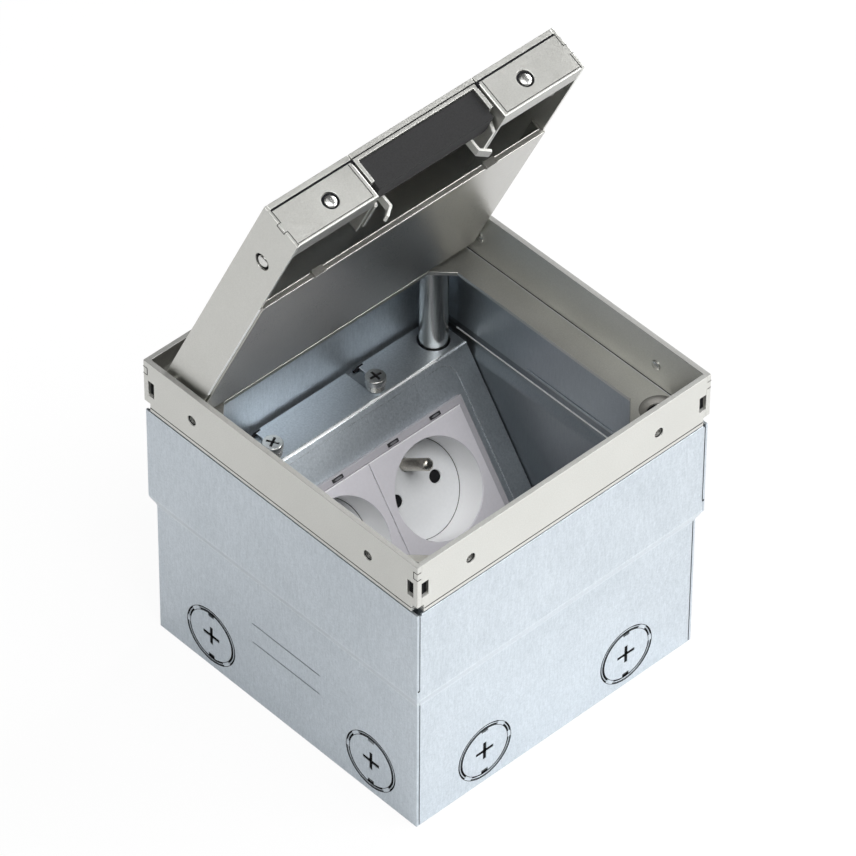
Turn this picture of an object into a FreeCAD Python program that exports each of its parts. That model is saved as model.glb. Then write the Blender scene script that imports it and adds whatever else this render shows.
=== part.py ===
import FreeCAD, Part
import os
import re
import Sketcher

# Floor socket box for a square hole in a raised or screeded floor. A galvanised sheet box holds
# two power sockets on a sloping carrier. A stainless frame stands on four levelling screws above
# it and carries a hinged lid, and the lid holds a sprung flap for the cords.
#
# Axes: the box stands on z = 0 with its centre on the z axis. The lid's hinge runs along x at the
# back, where y is positive. Lengths are in millimetres and angles in degrees.

doc = FreeCAD.newDocument("floor_socket_box")
sheet = doc.addObject("Spreadsheet::Sheet", "sizes")

SIZES = [
    ("frame_size", 140.0, "outer width of the top frame, the main size of the whole box"),
    ("box_inset", 0.3, "outer face of the box inside the frame's outer face"),
    ("joggle_depth", 2.1, "step of the box's walls inwards below their joggle"),
    ("box_height", 108.7, "height of the box's top edge"),
    ("box_sheet", 1.0, "thickness of the galvanised sheet"),
    ("joggle_low", 61.6, "height of the joggle's lower crease"),
    ("joggle_rise", 4.2, "height of the joggle"),
    ("seam_relief", 1.2, "radius of the relief at the top of a corner seam"),
    ("knockout_radius", 12.65, "outer radius of a knockout's ring slot"),
    ("knockout_slot", 1.7, "width of a knockout's ring slot"),
    ("knockout_web", 4.0, "width of the webs that hold a knockout"),
    ("knockout_cross", 8.4, "length of the cross slot's arms, end to end"),
    ("knockout_cross_width", 1.5, "width of the cross slot"),
    ("knockout_notch_width", 3.0, "width of the notches in a knockout's disc, above and below its middle"),
    ("knockout_notch_depth", 2.4, "depth of the notches in a knockout's disc"),
    ("knockout_height", 15.4, "height of the knockouts' centres"),
    ("knockout_side", 41.9, "knockout centres from the middle of the left and right walls"),
    ("knockout_side_shift", 2.0, "middle of the left wall's knockouts in front of the box's middle"),
    ("knockout_front", 34.7, "knockout centres from the middle of the front and back walls"),
    ("level_mark_low", 29.3, "height of the lower level mark"),
    ("level_mark_high", 38.6, "height of the upper level mark"),
    ("level_mark_length", 35.0, "length of a level mark"),
    ("level_mark_width", 0.5, "width of a level mark"),
    ("level_mark_depth", 0.2, "depth of a level mark"),
    ("fixing_spacing", 90.0, "spacing of the fixing holes in the box floor"),
    ("fixing_radius", 2.6, "radius of a fixing hole"),
    ("carrier_sheet", 1.2, "thickness of the socket carrier"),
    ("carrier_gap", 0.4, "gap between the carrier and the box's side walls"),
    ("carrier_height", 67.3, "height of the carrier's shelf, at its top face"),
    ("shelf_gap", 1.7, "gap between the shelf's back edge and the back wall"),
    ("shelf_depth", 17.5, "depth of the shelf, back edge to bend"),
    ("slope_angle", 54.0, "slope of the carrier's face"),
    ("foot_length", 12.0, "length of the carrier's foot on the box floor"),
    ("panel_side", 8.8, "pressed panel inside the carrier's side edges"),
    ("panel_start", 3.0, "start of the pressed panel below the bend"),
    ("panel_end", 7.5, "end of the pressed panel above the foot's bend"),
    ("panel_depth", 0.4, "depth of the pressed panel"),
    ("panel_corner", 6.0, "corner radius of the pressed panel"),
    ("carrier_screw_side", 25.0, "half the distance between the carrier screws"),
    ("carrier_screw_shift", 0.7, "middle of the carrier screws to the right of the box's middle"),
    ("carrier_screw_setback", 4.5, "carrier screws behind the shelf's bend"),
    ("carrier_screw_radius", 2.5, "shank radius of a carrier screw"),
    ("carrier_screw_head", 4.0, "head radius of a carrier screw"),
    ("carrier_screw_head_height", 2.8, "head height of a carrier screw"),
    ("carrier_screw_proud", 6.1, "top of a carrier screw above the shelf"),
    ("carrier_screw_length", 16.8, "whole length of a carrier screw"),
    ("carrier_slot_gap", 0.3, "clearance of a carrier screw in its slot"),
    ("bracket_width", 16.0, "width of a carrier bracket"),
    ("bracket_sheet", 1.5, "thickness of a carrier bracket"),
    ("bracket_drop", 24.0, "height of a carrier bracket's leg"),
    ("bend_relief_width", 5.4, "width of the relief in a bracket's bend, right of its screw"),
    ("bend_relief_depth", 1.8, "depth of the relief in a bracket's bend, from the shelf's back edge"),
    ("shelf_notch_width", 2.5, "width of the notch in the shelf's back edge beside a screw's slot"),
    ("shelf_notch_depth", 1.0, "depth of the notch in the shelf's back edge"),
    ("bracket_relief", 0.3, "gap between a bracket's tongue and the slope's bend"),
    ("cross_width", 0.9, "width of the cross recess in a carrier screw"),
    ("cross_length", 3.8, "length of the cross recess, end to end"),
    ("cross_depth", 1.4, "depth of the cross recess"),
    ("module_size", 45.0, "width and height of a socket module"),
    ("module_side_gap", 15.5, "right module's edge from the box's right wall"),
    ("module_rise", 17.67, "low edge of the modules above the foot's bend, up the slope"),
    ("module_seam", 0.1, "clearance round a module's cover"),
    ("window_edge", 2.0, "carrier's window inside the modules' edges"),
    ("module_proud", 3.0, "face of the modules above the carrier"),
    ("well_radius", 19.1, "radius of a socket's well"),
    ("well_depth", 15.0, "depth of a socket's well"),
    ("well_wall", 1.2, "wall thickness of a well"),
    ("contact_spacing", 19.0, "distance between a socket's contact holes"),
    ("contact_radius", 2.5, "radius of a contact hole"),
    ("earth_offset", 10.0, "earth pin above the middle of the well"),
    ("earth_radius", 2.4, "radius of an earth pin"),
    ("earth_length", 16.0, "length of an earth pin above the well's floor"),
    ("pin_fit", 0.05, "clearance round an earth pin"),
    ("base_depth", 14.0, "depth of a socket's base behind its well"),
    ("base_width", 41.0, "width of a socket's base"),
    ("base_back", 2.0, "floor left behind the contacts in a socket's base"),
    ("wire_hole_radius", 1.8, "radius of a wire hole in a socket's base"),
    ("wire_hole_depth", 4.0, "depth of a wire hole"),
    ("wire_spacing", 12.0, "spacing of the wire holes and terminals"),
    ("terminal_radius", 2.4, "radius of a terminal screw's head"),
    ("terminal_height", 1.2, "height of a terminal screw's head"),
    ("terminal_slot", 0.7, "width of a terminal screw's slot"),
    ("earth_seat", 6.0, "depth of an earth pin's seat in the base"),
    ("sleeve_wall", 0.6, "wall thickness of a contact sleeve"),
    ("sleeve_short", 2.0, "contact sleeve's end below the base's face"),
    ("support_border", 2.8, "border of the support frame round the modules"),
    ("support_thick", 2.0, "thickness of the support frame's border"),
    ("clip_length", 5.0, "length of a support frame clip"),
    ("clip_width", 1.4, "width of a support frame clip"),
    ("clip_thick", 0.6, "thickness of a support frame clip"),
    ("frame_wall", 2.0, "thickness of the top frame's walls"),
    ("frame_depth", 21.3, "height of the top frame's walls"),
    ("frame_lift", 1.0, "gap between the box and the flange as levelled here"),
    ("flange_sheet", 1.6, "thickness of the frame's flange"),
    ("flange_corner", 3.0, "notch at each corner of the flange"),
    ("flange_side", 13.5, "width of the flange along the sides"),
    ("flange_back", 18.5, "width of the flange along the back"),
    ("flange_front", 13.0, "width of the flange along the front"),
    ("flange_bevel", 39.5, "opening's cut corners inside the frame's corners, x and y added up"),
    ("relief_half", 34.0, "half width of the flange's relief for the cords"),
    ("relief_edge", 5.0, "width of the flange in front of the relief"),
    ("tongue_top", 2.9, "top of a corner tongue below the frame's top"),
    ("tongue_low", 6.1, "bottom of a corner tongue below the frame's top"),
    ("corner_slot_start", 2.2, "corner slot's distance from the corner"),
    ("corner_slot_width", 3.0, "width of a corner slot"),
    ("corner_slot_top", 8.7, "top of a corner slot below the frame's top"),
    ("corner_slot_height", 7.0, "height of a corner slot"),
    ("corner_notch_width", 3.0, "notch at the lower corners of the frame's walls, from the corner"),
    ("corner_notch_height", 1.9, "height of the notch at the lower corners of the frame's walls"),
    ("set_screw_inset", 25.0, "set screws from the ends of each wall"),
    ("set_screw_drop", 12.0, "set screws below the frame's top"),
    ("set_screw_radius", 2.0, "radius of a set screw"),
    ("set_screw_proud", 0.5, "set screw inside the wall's inner face"),
    ("set_screw_sunk", 0.8, "set screw below the wall's outer face"),
    ("set_screw_key", 0.6, "depth of a set screw's key socket"),
    ("post_inset", 11.7, "back levelling posts from the frame's side and back faces"),
    ("post_front_side", 9.9, "front levelling posts from the frame's side faces"),
    ("post_front_inset", 14.5, "front levelling posts from the frame's front face"),
    ("tube_radius", 5.45, "outer radius of a levelling tube"),
    ("tube_length", 74.0, "length of a levelling tube"),
    ("tube_bore", 4.8, "radius of a levelling tube's upper bore"),
    ("tube_thread_length", 40.0, "length of a levelling tube's threaded part"),
    ("screw_radius", 4.0, "radius of a levelling screw"),
    ("screw_length", 72.0, "length of a levelling screw"),
    ("screw_fit", 0.06, "clearance of a levelling screw in its thread"),
    ("screw_hex", 4.0, "width of a levelling screw's hexagon socket"),
    ("screw_hex_depth", 5.0, "depth of a levelling screw's hexagon socket"),
    ("post_hole_gap", 0.7, "clearance round a levelling tube in the carrier"),
    ("dish_radius", 7.6, "radius of the dish round a levelling hole"),
    ("dish_depth", 1.1, "depth of the dish round a levelling hole"),
    ("lid_gap", 1.2, "gap between the lid and the frame"),
    ("lid_open", 65.2, "angle that the lid stands open"),
    ("hinge_inset", 11.8, "hinge axis from the frame's back face"),
    ("hinge_drop", 3.8, "hinge axis below the frame's top"),
    ("hinge_pin_radius", 1.5, "radius of a hinge pin"),
    ("hinge_fit", 0.05, "clearance round a hinge pin"),
    ("hinge_pin_sunk", 1.2, "depth of a hinge pin in the frame's wall"),
    ("hinge_pin_short", 0.4, "end of a hinge pin inside its block"),
    ("hinge_block_thick", 3.0, "thickness of a hinge block"),
    ("hinge_block_length", 9.0, "length of a hinge block"),
    ("hinge_block_height", 6.0, "height of a hinge block"),
    ("lid_plate", 2.0, "thickness of the lid's top plate"),
    ("lid_depth", 18.0, "depth of the lid's sides"),
    ("lid_sheet", 1.2, "thickness of the lid's side sheets"),
    ("lid_back_bevel", 3.0, "bevel of the lid's lower back corners"),
    ("front_gap", 0.5, "gap between the top plate and the front blocks"),
    ("front_return", 8.0, "width of a front block's bottom return"),
    ("front_end_depth", 25.0, "depth of a front block's end wall"),
    ("finger_top", 7.6, "top of the finger joint at the front corners, below the lid's top"),
    ("finger_low", 11.4, "bottom of the finger joint below the lid's top"),
    ("rivet_front", 21.6, "front rivets from the lid's side faces"),
    ("rivet_drop", 10.2, "front rivets below the lid's top"),
    ("rivet_side_back", 24.4, "side rivets behind the lid's front edge"),
    ("rivet_side_drop", 9.6, "side rivets below the lid's top"),
    ("rivet_radius", 2.6, "head radius of a rivet"),
    ("rivet_shank", 1.6, "shank radius of a rivet"),
    ("rivet_head", 1.1, "height of a rivet's head"),
    ("rivet_length", 4.0, "length of a rivet from the top of its head"),
    ("rivet_dimple", 1.1, "radius of the dimple in a rivet's head"),
    ("rivet_dimple_depth", 0.4, "depth of that dimple"),
    ("rivet_ring", 0.7, "gap round a rivet's head"),
    ("rivet_fit", 0.05, "clearance round a rivet's shank"),
    ("rivet_boss", 1.5, "thickness of the boss behind a rivet"),
    ("rivet_boss_rim", 2.0, "rim of that boss round the rivet's head"),
    ("pan_start", 45.0, "front edge of the lid's pan behind the lid's front edge"),
    ("pan_sheet", 1.0, "thickness of the lid's pan"),
    ("pan_rim", 6.0, "height of the pan's rims"),
    ("pan_hem", 2.2, "height of the hem on the pan's front edge"),
    ("pan_clip_width", 5.0, "width of a pan clip"),
    ("pan_clip_side", 26.6, "pan clips from the lid's side faces"),
    ("pan_clip_sheet", 1.0, "thickness of a pan clip"),
    ("pan_clip_lap", 0.4, "lap of a pan clip past the hem"),
    ("flap_half", 28.5, "half width of the cord flap"),
    ("flap_gap", 0.5, "gap round the cord flap"),
    ("flap_inset", 0.3, "flap's bracket inside the edges of its plate"),
    ("flap_web_gap", 2.5, "end of the bracket's web in front of the pins"),
    ("flap_length", 21.0, "length of the cord flap from the lid's front edge"),
    ("flap_axis_back", 20.0, "flap hinge behind the lid's front edge"),
    ("flap_axis_drop", 5.0, "flap hinge below the lid's top"),
    ("flap_sheet", 1.5, "thickness of the flap's bracket"),
    ("flap_leg", 12.6, "bottom of the flap's legs at the front, below the lid's top"),
    ("flap_leg_low", 18.3, "bottom of the flap's legs at the back, below the lid's top"),
    ("flap_leg_slant", 4.7, "start of a leg's slanted edge behind the lid's front edge"),
    ("flap_leg_knee", 9.0, "end of a leg's slanted edge behind the lid's front edge"),
    ("flap_leg_back", 23.5, "back end of the flap's legs behind the lid's front edge"),
    ("flap_leg_shoulder", 22.0, "start of the bevel that lets a leg swing past the lid's plate"),
    ("flap_leg_bevel_low", 6.5, "bottom of that bevel below the lid's top"),
    ("flap_side_gap", 1.0, "gap between a flap leg and the block's end wall"),
    ("flap_pin_radius", 1.25, "radius of a flap pin"),
    ("flap_pin_fit", 0.05, "clearance round a flap pin"),
    ("flap_pin_inside", 7.0, "flap pin inside the bracket's leg"),
    ("foam_depth", 15.6, "bottom of the foam below the lid's top"),
    ("foam_front", 1.6, "front of the foam behind the lid's front edge"),
    ("foam_back", 12.0, "back of the foam behind the lid's front edge"),
    ("spring_wire", 0.35, "radius of the flap spring's wire"),
    ("spring_pitch", 0.9, "pitch of the flap spring"),
    ("spring_turns", 4.0, "turns of the flap spring"),
    ("spring_bore_gap", 0.15, "clearance between the spring and its pin"),
    ("spring_end_gap", 0.3, "gap between the spring and the bracket's leg"),
    ("hook_start", 12.4, "front edge of a flap hook behind the lid's front edge"),
    ("hook_width", 4.0, "width of a flap hook"),
    ("hook_sheet", 1.0, "thickness of a flap hook"),
    ("hook_tab", 9.0, "top of a hook's tab below the lid's top"),
    ("hook_shelf", 14.0, "underside of a hook's shelf below the lid's top"),
    ("hook_in", 20.1, "inner face of a hook from the middle"),
    ("hook_knee", 19.5, "knee of a hook below the lid's top"),
    ("hook_foot_side", 24.5, "tip of a hook's foot from the middle"),
    ("hook_foot_low", 22.3, "tip of a hook's foot below the lid's top"),
    ("stud_radius", 2.0, "radius of the earth stud"),
    ("stud_length", 12.0, "length of the earth stud"),
    ("stud_collar", 3.2, "radius of the earth stud's collar"),
    ("stud_collar_height", 0.8, "height of the earth stud's collar"),
    ("stud_side", 18.6, "earth stud from the box floor's left edge"),
    ("stud_front", 36.6, "earth stud from the box floor's front edge"),
    ("nut_width", 7.0, "width of the earth nut across its flats"),
    ("nut_height", 3.2, "height of the earth nut"),
]
for row, (alias, number, meaning) in enumerate(SIZES, start=1):
    sheet.set(f"A{row}", alias)
    sheet.set(f"B{row}", str(number))
    sheet.set(f"C{row}", meaning)
    sheet.setAlias(f"B{row}", alias)
doc.recompute()
ALIASES = {alias for alias, _, _ in SIZES}
SIZE = {alias: number for alias, number, _ in SIZES}

X_AXIS = FreeCAD.Vector(1, 0, 0)
Y_AXIS = FreeCAD.Vector(0, 1, 0)
Z_AXIS = FreeCAD.Vector(0, 0, 1)
ORIGIN = FreeCAD.Vector(0, 0, 0)
CUT_PAST = 5.0
nodes = {}


# Ways to write a size as an expression on the sheet

def on_sheet(text):
    """The expression with each size's alias read from the sheet."""
    return re.sub(r"[a-z_]+", lambda word: "sizes." + word[0] if word[0] in ALIASES else word[0], str(text))


def bind(feature, prop, text):
    feature.setExpression(prop, on_sheet(text))


def node(label, feature):
    """Name a finished sub-part, so that it is checked and written out."""
    feature.Label = label
    nodes[label] = feature
    return feature


# Solid primitives with bound sizes

def block(x, y, z):
    """A box between two expressions along each axis."""
    feature = doc.addObject("Part::Box", "block")
    for prop, axis, (low, high) in (("Length", "x", x), ("Width", "y", y), ("Height", "z", z)):
        bind(feature, "Placement.Base." + axis, low)
        bind(feature, prop, f"({high}) - ({low})")
    return feature


def rod(axis, radius, start, length, tip=None):
    """A cylinder or, with a tip radius, a cone along +axis from a start point."""
    feature = doc.addObject("Part::Cylinder" if tip is None else "Part::Cone", "rod")
    turns = {"x": (Y_AXIS, 90), "y": (X_AXIS, -90), "z": (Z_AXIS, 0)}
    feature.Placement = FreeCAD.Placement(ORIGIN, FreeCAD.Rotation(*turns[axis]))
    for letter, text in zip("xyz", start):
        bind(feature, "Placement.Base." + letter, text)
    bind(feature, "Height", length)
    if tip is None:
        bind(feature, "Radius", radius)
    else:
        bind(feature, "Radius1", radius)
        bind(feature, "Radius2", tip)
    return feature


def fuse(*parts):
    feature = doc.addObject("Part::MultiFuse", "joined")
    feature.Shapes = list(parts)
    feature.Refine = True
    return feature


def cut(base, *tools):
    feature = doc.addObject("Part::Cut", "cut")
    feature.Base = base
    feature.Tool = tools[0] if len(tools) == 1 else fuse(*tools)
    feature.Refine = True
    return feature


def group(*parts):
    feature = doc.addObject("Part::Compound", "group")
    feature.Links = list(parts)
    return feature


def moved(feature, x="0", y="0", z="0", axis=Z_AXIS, angle=0):
    """Give a feature its place and a fixed turn."""
    feature.Placement = FreeCAD.Placement(ORIGIN, FreeCAD.Rotation(axis, angle))
    for letter, text in zip("xyz", (x, y, z)):
        bind(feature, "Placement.Base." + letter, text)
    return feature


def rounded_block(x, y, z, radius):
    """A box whose four upright edges are rounded."""
    wide = block(x, (f"{y[0]} + {radius}", f"{y[1]} - {radius}"), z)
    deep = block((f"{x[0]} + {radius}", f"{x[1]} - {radius}"), y, z)
    height = f"({z[1]}) - ({z[0]})"
    corners = [
        rod("z", radius, (px, py, z[0]), height)
        for px in (f"{x[0]} + {radius}", f"{x[1]} - {radius}")
        for py in (f"{y[0]} + {radius}", f"{y[1]} - {radius}")
    ]
    return fuse(wide, deep, *corners)


# Sketched features

def sketch_on(body, plane):
    sketch = body.newObject("Sketcher::SketchObject", "outline")
    support = [item for item in body.Origin.OriginFeatures if item.Role == plane][0]
    sketch.AttachmentSupport = [(support, "")]
    sketch.MapMode = "FlatFace"
    return sketch


def outline(sketch, points):
    """A closed run of lines whose corners are bound, in x and y, to expressions."""
    first = sketch.GeometryCount
    count = len(points)
    start = [FreeCAD.Vector(SIZE["frame_size"] / 2, 0, 0)]
    turn = FreeCAD.Rotation(Z_AXIS, 360.0 / count)
    for _ in points:
        start.append(turn.multVec(start[-1]))
    sketch.addGeometry([Part.LineSegment(start[i], start[i + 1]) for i in range(count)])
    for i in range(count):
        sketch.addConstraint(Sketcher.Constraint("Coincident", first + i, 2, first + (i + 1) % count, 1))
    for i, (x, y) in enumerate(points):
        for rule, text in (("DistanceX", x), ("DistanceY", y)):
            index = sketch.addConstraint(Sketcher.Constraint(rule, first + i, 1, 1.0))
            sketch.setExpression(f"Constraints[{index}]", on_sheet(text))


def hole(sketch, x, y, radius):
    index = sketch.addGeometry(Part.Circle(ORIGIN, Z_AXIS, 1.0))
    for rule, text in (("DistanceX", x), ("DistanceY", y)):
        place = sketch.addConstraint(Sketcher.Constraint(rule, index, 3, 1.0))
        sketch.setExpression(f"Constraints[{place}]", on_sheet(text))
    size = sketch.addConstraint(Sketcher.Constraint("Radius", index, 1.0))
    sketch.setExpression(f"Constraints[{size}]", on_sheet(radius))


def pad(body, sketch, length, middle=False, back=False):
    feature = body.newObject("PartDesign::Pad", "pad")
    feature.Profile = sketch
    feature.Midplane = middle
    feature.Reversed = back
    bind(feature, "Length", length)
    return feature


def pocket_through(body, sketch):
    feature = body.newObject("PartDesign::Pocket", "pocket")
    feature.Profile = sketch
    feature.Type = "ThroughAll"
    feature.Midplane = True
    return feature


def new_body(name):
    return doc.addObject("PartDesign::Body", name)


# Places that several pieces share
HALF_TOP = "(frame_size/2 - box_inset)"
HALF_LOW = "(frame_size/2 - box_inset - joggle_depth)"
JOGGLE_TOP = "(joggle_low + joggle_rise)"
FLANGE_LOW = "(box_height + frame_lift)"
FLANGE_TOP = "(box_height + frame_lift + flange_sheet)"
FRAME_TOP = "(box_height + frame_lift + flange_sheet + frame_depth)"
FRAME_IN = "(frame_size/2 - frame_wall)"
POST = "(frame_size/2 - post_inset)"
HINGE_Y = "(frame_size/2 - hinge_inset)"
SHELF_BACK = f"({HALF_TOP} - box_sheet - shelf_gap)"
BEND = f"({SHELF_BACK} - shelf_depth)"


# The box: a floor and four joggled walls, folded from galvanised sheet

def mirrored(points):
    return [(f"-({x})", y) for x, y in points]


def wall_profile(sign):
    """The joggled sheet's section: outside upwards, then inside downwards."""
    outside = [
        (HALF_LOW, "0"),
        (HALF_LOW, "joggle_low"),
        (HALF_TOP, JOGGLE_TOP),
        (HALF_TOP, "box_height"),
    ]
    inside = [(f"{x} - box_sheet", z) for x, z in reversed(outside)]
    points = outside + inside
    return points if sign > 0 else mirrored(points)


def waste_profile(inset):
    """What is cut off beside a wall's edge below and through the joggle."""
    past = f"{HALF_TOP} + {CUT_PAST}"
    return [
        (f"{HALF_LOW} - {inset}", f"-{CUT_PAST}"),
        (f"{HALF_LOW} - {inset}", "joggle_low"),
        (f"{HALF_TOP} - {inset}", JOGGLE_TOP),
        (past, JOGGLE_TOP),
        (past, f"-{CUT_PAST}"),
    ]


def wall_blank(profile_plane, edge_plane, sign, inset):
    """A wall with the joggle in its section and its edges stepped to meet its neighbours."""
    body = new_body("wall_blank")
    section = sketch_on(body, profile_plane)
    outline(section, wall_profile(sign))
    pad(body, section, f"2*({HALF_TOP} - {inset})", middle=True)
    edges = sketch_on(body, edge_plane)
    outline(edges, waste_profile(inset))
    outline(edges, mirrored(waste_profile(inset)))
    pocket_through(body, edges)
    return body


def knockout(x, y, axis, angle):
    """The slots round and in a knockout, cut through the sheet."""
    low, high = "-2*box_sheet", "2*box_sheet"
    ring = cut(
        rod("z", "knockout_radius", ("0", "0", low), "4*box_sheet"),
        rod("z", "knockout_radius - knockout_slot", ("0", "0", low), "4*box_sheet"),
    )
    span = "2*knockout_radius"
    web = block((f"-{span}", span), ("-knockout_web/2", "knockout_web/2"), (low, high))
    arm = "knockout_cross/2"
    width = "knockout_cross_width/2"
    bar_a = block((f"-{arm}", arm), (f"-{width}", width), (low, high))
    bar_b = block((f"-{width}", width), (f"-{arm}", arm), (low, high))
    notches = []
    for way in (-1, 1):
        notch_mid = f"{way}*(knockout_radius - knockout_slot/2 - knockout_notch_depth/2)"
        rise = (f"{notch_mid} - knockout_notch_depth/2", f"{notch_mid} + knockout_notch_depth/2")
        side = ("-knockout_notch_width/2", "knockout_notch_width/2")
        notches.append(block(rise, side, (low, high)) if axis == Y_AXIS else block(side, rise, (low, high)))
    web_angle = -42 if axis == Y_AXIS else 48
    single = block(("0", span), ("-knockout_web/3", "knockout_web/3"), (low, high))
    single_angle = 92 if axis == Y_AXIS else 2
    webs = (moved(group(web), angle=web_angle), moved(group(single), angle=single_angle))
    slots = fuse(cut(ring, *webs), bar_a, bar_b, *notches)
    return moved(slots, x, y, "knockout_height", axis, angle)


for label, sign in (("box_wall_left", -1), ("box_wall_right", 1)):
    blank = wall_blank("XZ_Plane", "YZ_Plane", sign, "0")
    middle = f"{sign}*({HALF_LOW} - box_sheet/2)"
    tools = [knockout(middle, f"({way}*knockout_side - knockout_side_shift)", Y_AXIS, 90) for way in (-1, 1)]
    if sign < 0:
        for height in ("level_mark_low", "level_mark_high"):
            tools.append(block(
                (f"-{HALF_LOW} - 1", f"-{HALF_LOW} + level_mark_depth"),
                ("-level_mark_length/2", "level_mark_length/2"),
                (f"{height} - level_mark_width/2", f"{height} + level_mark_width/2"),
            ))
    node(label, cut(blank, *tools))

for label, sign in (("box_wall_front", -1), ("box_wall_back", 1)):
    blank = wall_blank("YZ_Plane", "XZ_Plane", sign, "box_sheet")
    middle = f"{sign}*({HALF_LOW} - box_sheet/2)"
    tools = [knockout(f"{way}*knockout_front", middle, X_AXIS, 90) for way in (-1, 1)]
    for way in (-1, 1):
        seam = (f"{way}*({HALF_TOP} - box_sheet)", f"{sign}*{HALF_TOP} - 3*box_sheet", "box_height")
        tools.append(rod("y", "seam_relief", seam, "6*box_sheet"))
    node(label, cut(blank, *tools))

floor_body = new_body("floor_plate")
floor_sketch = sketch_on(floor_body, "XY_Plane")
FLOOR_HALF = f"({HALF_LOW} - box_sheet)"
outline(floor_sketch, [
    (f"-{FLOOR_HALF}", f"-{FLOOR_HALF}"),
    (FLOOR_HALF, f"-{FLOOR_HALF}"),
    (FLOOR_HALF, FLOOR_HALF),
    (f"-{FLOOR_HALF}", FLOOR_HALF),
])
for way_x in (-1, 1):
    for way_y in (-1, 1):
        hole(floor_sketch, f"{way_x}*fixing_spacing/2", f"{way_y}*fixing_spacing/2", "fixing_radius")
STUD_X = f"(stud_side - {FLOOR_HALF})"
STUD_Y = f"(stud_front - {FLOOR_HALF})"
hole(floor_sketch, STUD_X, STUD_Y, "stud_radius")
pad(floor_body, floor_sketch, "box_sheet")
node("box_floor", floor_body)

# The earth stud is pressed into the floor from below, and its nut holds the earth wire's tag
node("earth_stud", fuse(
    rod("z", "stud_radius", (STUD_X, STUD_Y, "0"), "stud_length"),
    rod("z", "stud_collar", (STUD_X, STUD_Y, "box_sheet"), "stud_collar_height"),
))


def hexagon(x, y, z, flats, height):
    feature = doc.addObject("Part::Prism", "hexagon")
    feature.Polygon = 6
    bind(feature, "Circumradius", f"({flats})/(2*cos(30))")
    bind(feature, "Height", height)
    return moved(feature, x, y, z)


nut_low = "(box_sheet + stud_collar_height)"
node("earth_nut", cut(
    hexagon(STUD_X, STUD_Y, nut_low, "nut_width", "nut_height"),
    rod("z", "stud_radius", (STUD_X, STUD_Y, nut_low), "nut_height"),
))


# The socket carrier: one bent sheet with a shelf, a slope and a foot

CARRIER_HALF = f"({HALF_LOW} - box_sheet - carrier_gap)"
FOOT_TOP = "(box_sheet + carrier_sheet)"
SLOPE_RUN = f"((carrier_height - {FOOT_TOP})/tan(slope_angle))"
SLOPE_LENGTH = f"((carrier_height - {FOOT_TOP})/sin(slope_angle))"
FOOT_BEND = f"({BEND} - {SLOPE_RUN})"
BEND_SHIFT = "(carrier_sheet*tan(slope_angle/2))"

carrier_body = new_body("carrier_blank")
carrier_sketch = sketch_on(carrier_body, "YZ_Plane")
outline(carrier_sketch, [
    (SHELF_BACK, "carrier_height"),
    (BEND, "carrier_height"),
    (FOOT_BEND, FOOT_TOP),
    (f"{FOOT_BEND} - foot_length", FOOT_TOP),
    (f"{FOOT_BEND} - foot_length", "box_sheet"),
    (f"{FOOT_BEND} + {BEND_SHIFT}", "box_sheet"),
    (f"{BEND} + {BEND_SHIFT}", "carrier_height - carrier_sheet"),
    (SHELF_BACK, "carrier_height - carrier_sheet"),
])
pad(carrier_body, carrier_sketch, f"2*{CARRIER_HALF}", middle=True)


def lay_on_slope(feature):
    """Put a feature, built on z = 0 with +y up the slope, on the carrier's slope."""
    feature.Placement = FreeCAD.Placement(ORIGIN, FreeCAD.Rotation(X_AXIS, SIZE["slope_angle"]))
    bind(feature, "Placement.Rotation.Angle", "slope_angle")
    bind(feature, "Placement.Base.y", BEND)
    bind(feature, "Placement.Base.z", "carrier_height")
    return feature


PAIR_RIGHT = f"({HALF_LOW} - box_sheet - module_side_gap)"
PAIR_LEFT = f"({PAIR_RIGHT} - 2*module_size)"
MODULE_LOW = f"(module_rise - {SLOPE_LENGTH})"
MODULE_TOP = f"({MODULE_LOW} + module_size)"
MODULE_MID = f"({MODULE_LOW} + module_size/2)"
MODULES = ((1, f"({PAIR_LEFT} + module_size/2)"), (2, f"({PAIR_RIGHT} - module_size/2)"))
PANEL_HALF = f"({CARRIER_HALF} - panel_side)"
THROUGH_SLOPE = ("-2*carrier_sheet", "2*carrier_sheet")

pressed_panel = lay_on_slope(rounded_block(
    (f"-{PANEL_HALF}", PANEL_HALF),
    (f"panel_end - {SLOPE_LENGTH}", "-panel_start"),
    ("-panel_depth", "2*carrier_sheet"),
    "panel_corner",
))
window = lay_on_slope(group(block(
    (f"{PAIR_LEFT} + window_edge", f"{PAIR_RIGHT} - window_edge"),
    (f"{MODULE_LOW} + window_edge", f"{MODULE_TOP} - window_edge"),
    THROUGH_SLOPE,
)))
CLAMP_Y = f"({BEND} + carrier_screw_setback)"
SHELF_CUT = ("carrier_height - 2*carrier_sheet", "carrier_height + carrier_sheet")
carrier_cuts = [pressed_panel, window]
for way in (-1, 1):
    place = f"({way}*carrier_screw_side + carrier_screw_shift)"
    slot = "(carrier_screw_radius + carrier_slot_gap)"
    carrier_cuts.append(rod("z", slot, (place, CLAMP_Y, SHELF_CUT[0]), "3*carrier_sheet"))
    carrier_cuts.append(block(
        (f"{place} - {slot}", f"{place} + {slot}"),
        (CLAMP_Y, f"{SHELF_BACK} + {CUT_PAST}"),
        SHELF_CUT,
    ))
    carrier_cuts.append(block(
        (place, f"{place} + {slot} + shelf_notch_width"),
        (f"{SHELF_BACK} - shelf_notch_depth", f"{SHELF_BACK} + {CUT_PAST}"),
        SHELF_CUT,
    ))
    carrier_cuts.append(rod(
        "z", "tube_radius + post_hole_gap", (f"{way}*{POST}", POST, SHELF_CUT[0]), "3*carrier_sheet",
    ))
node("carrier_plate", cut(carrier_body, *carrier_cuts))

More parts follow.
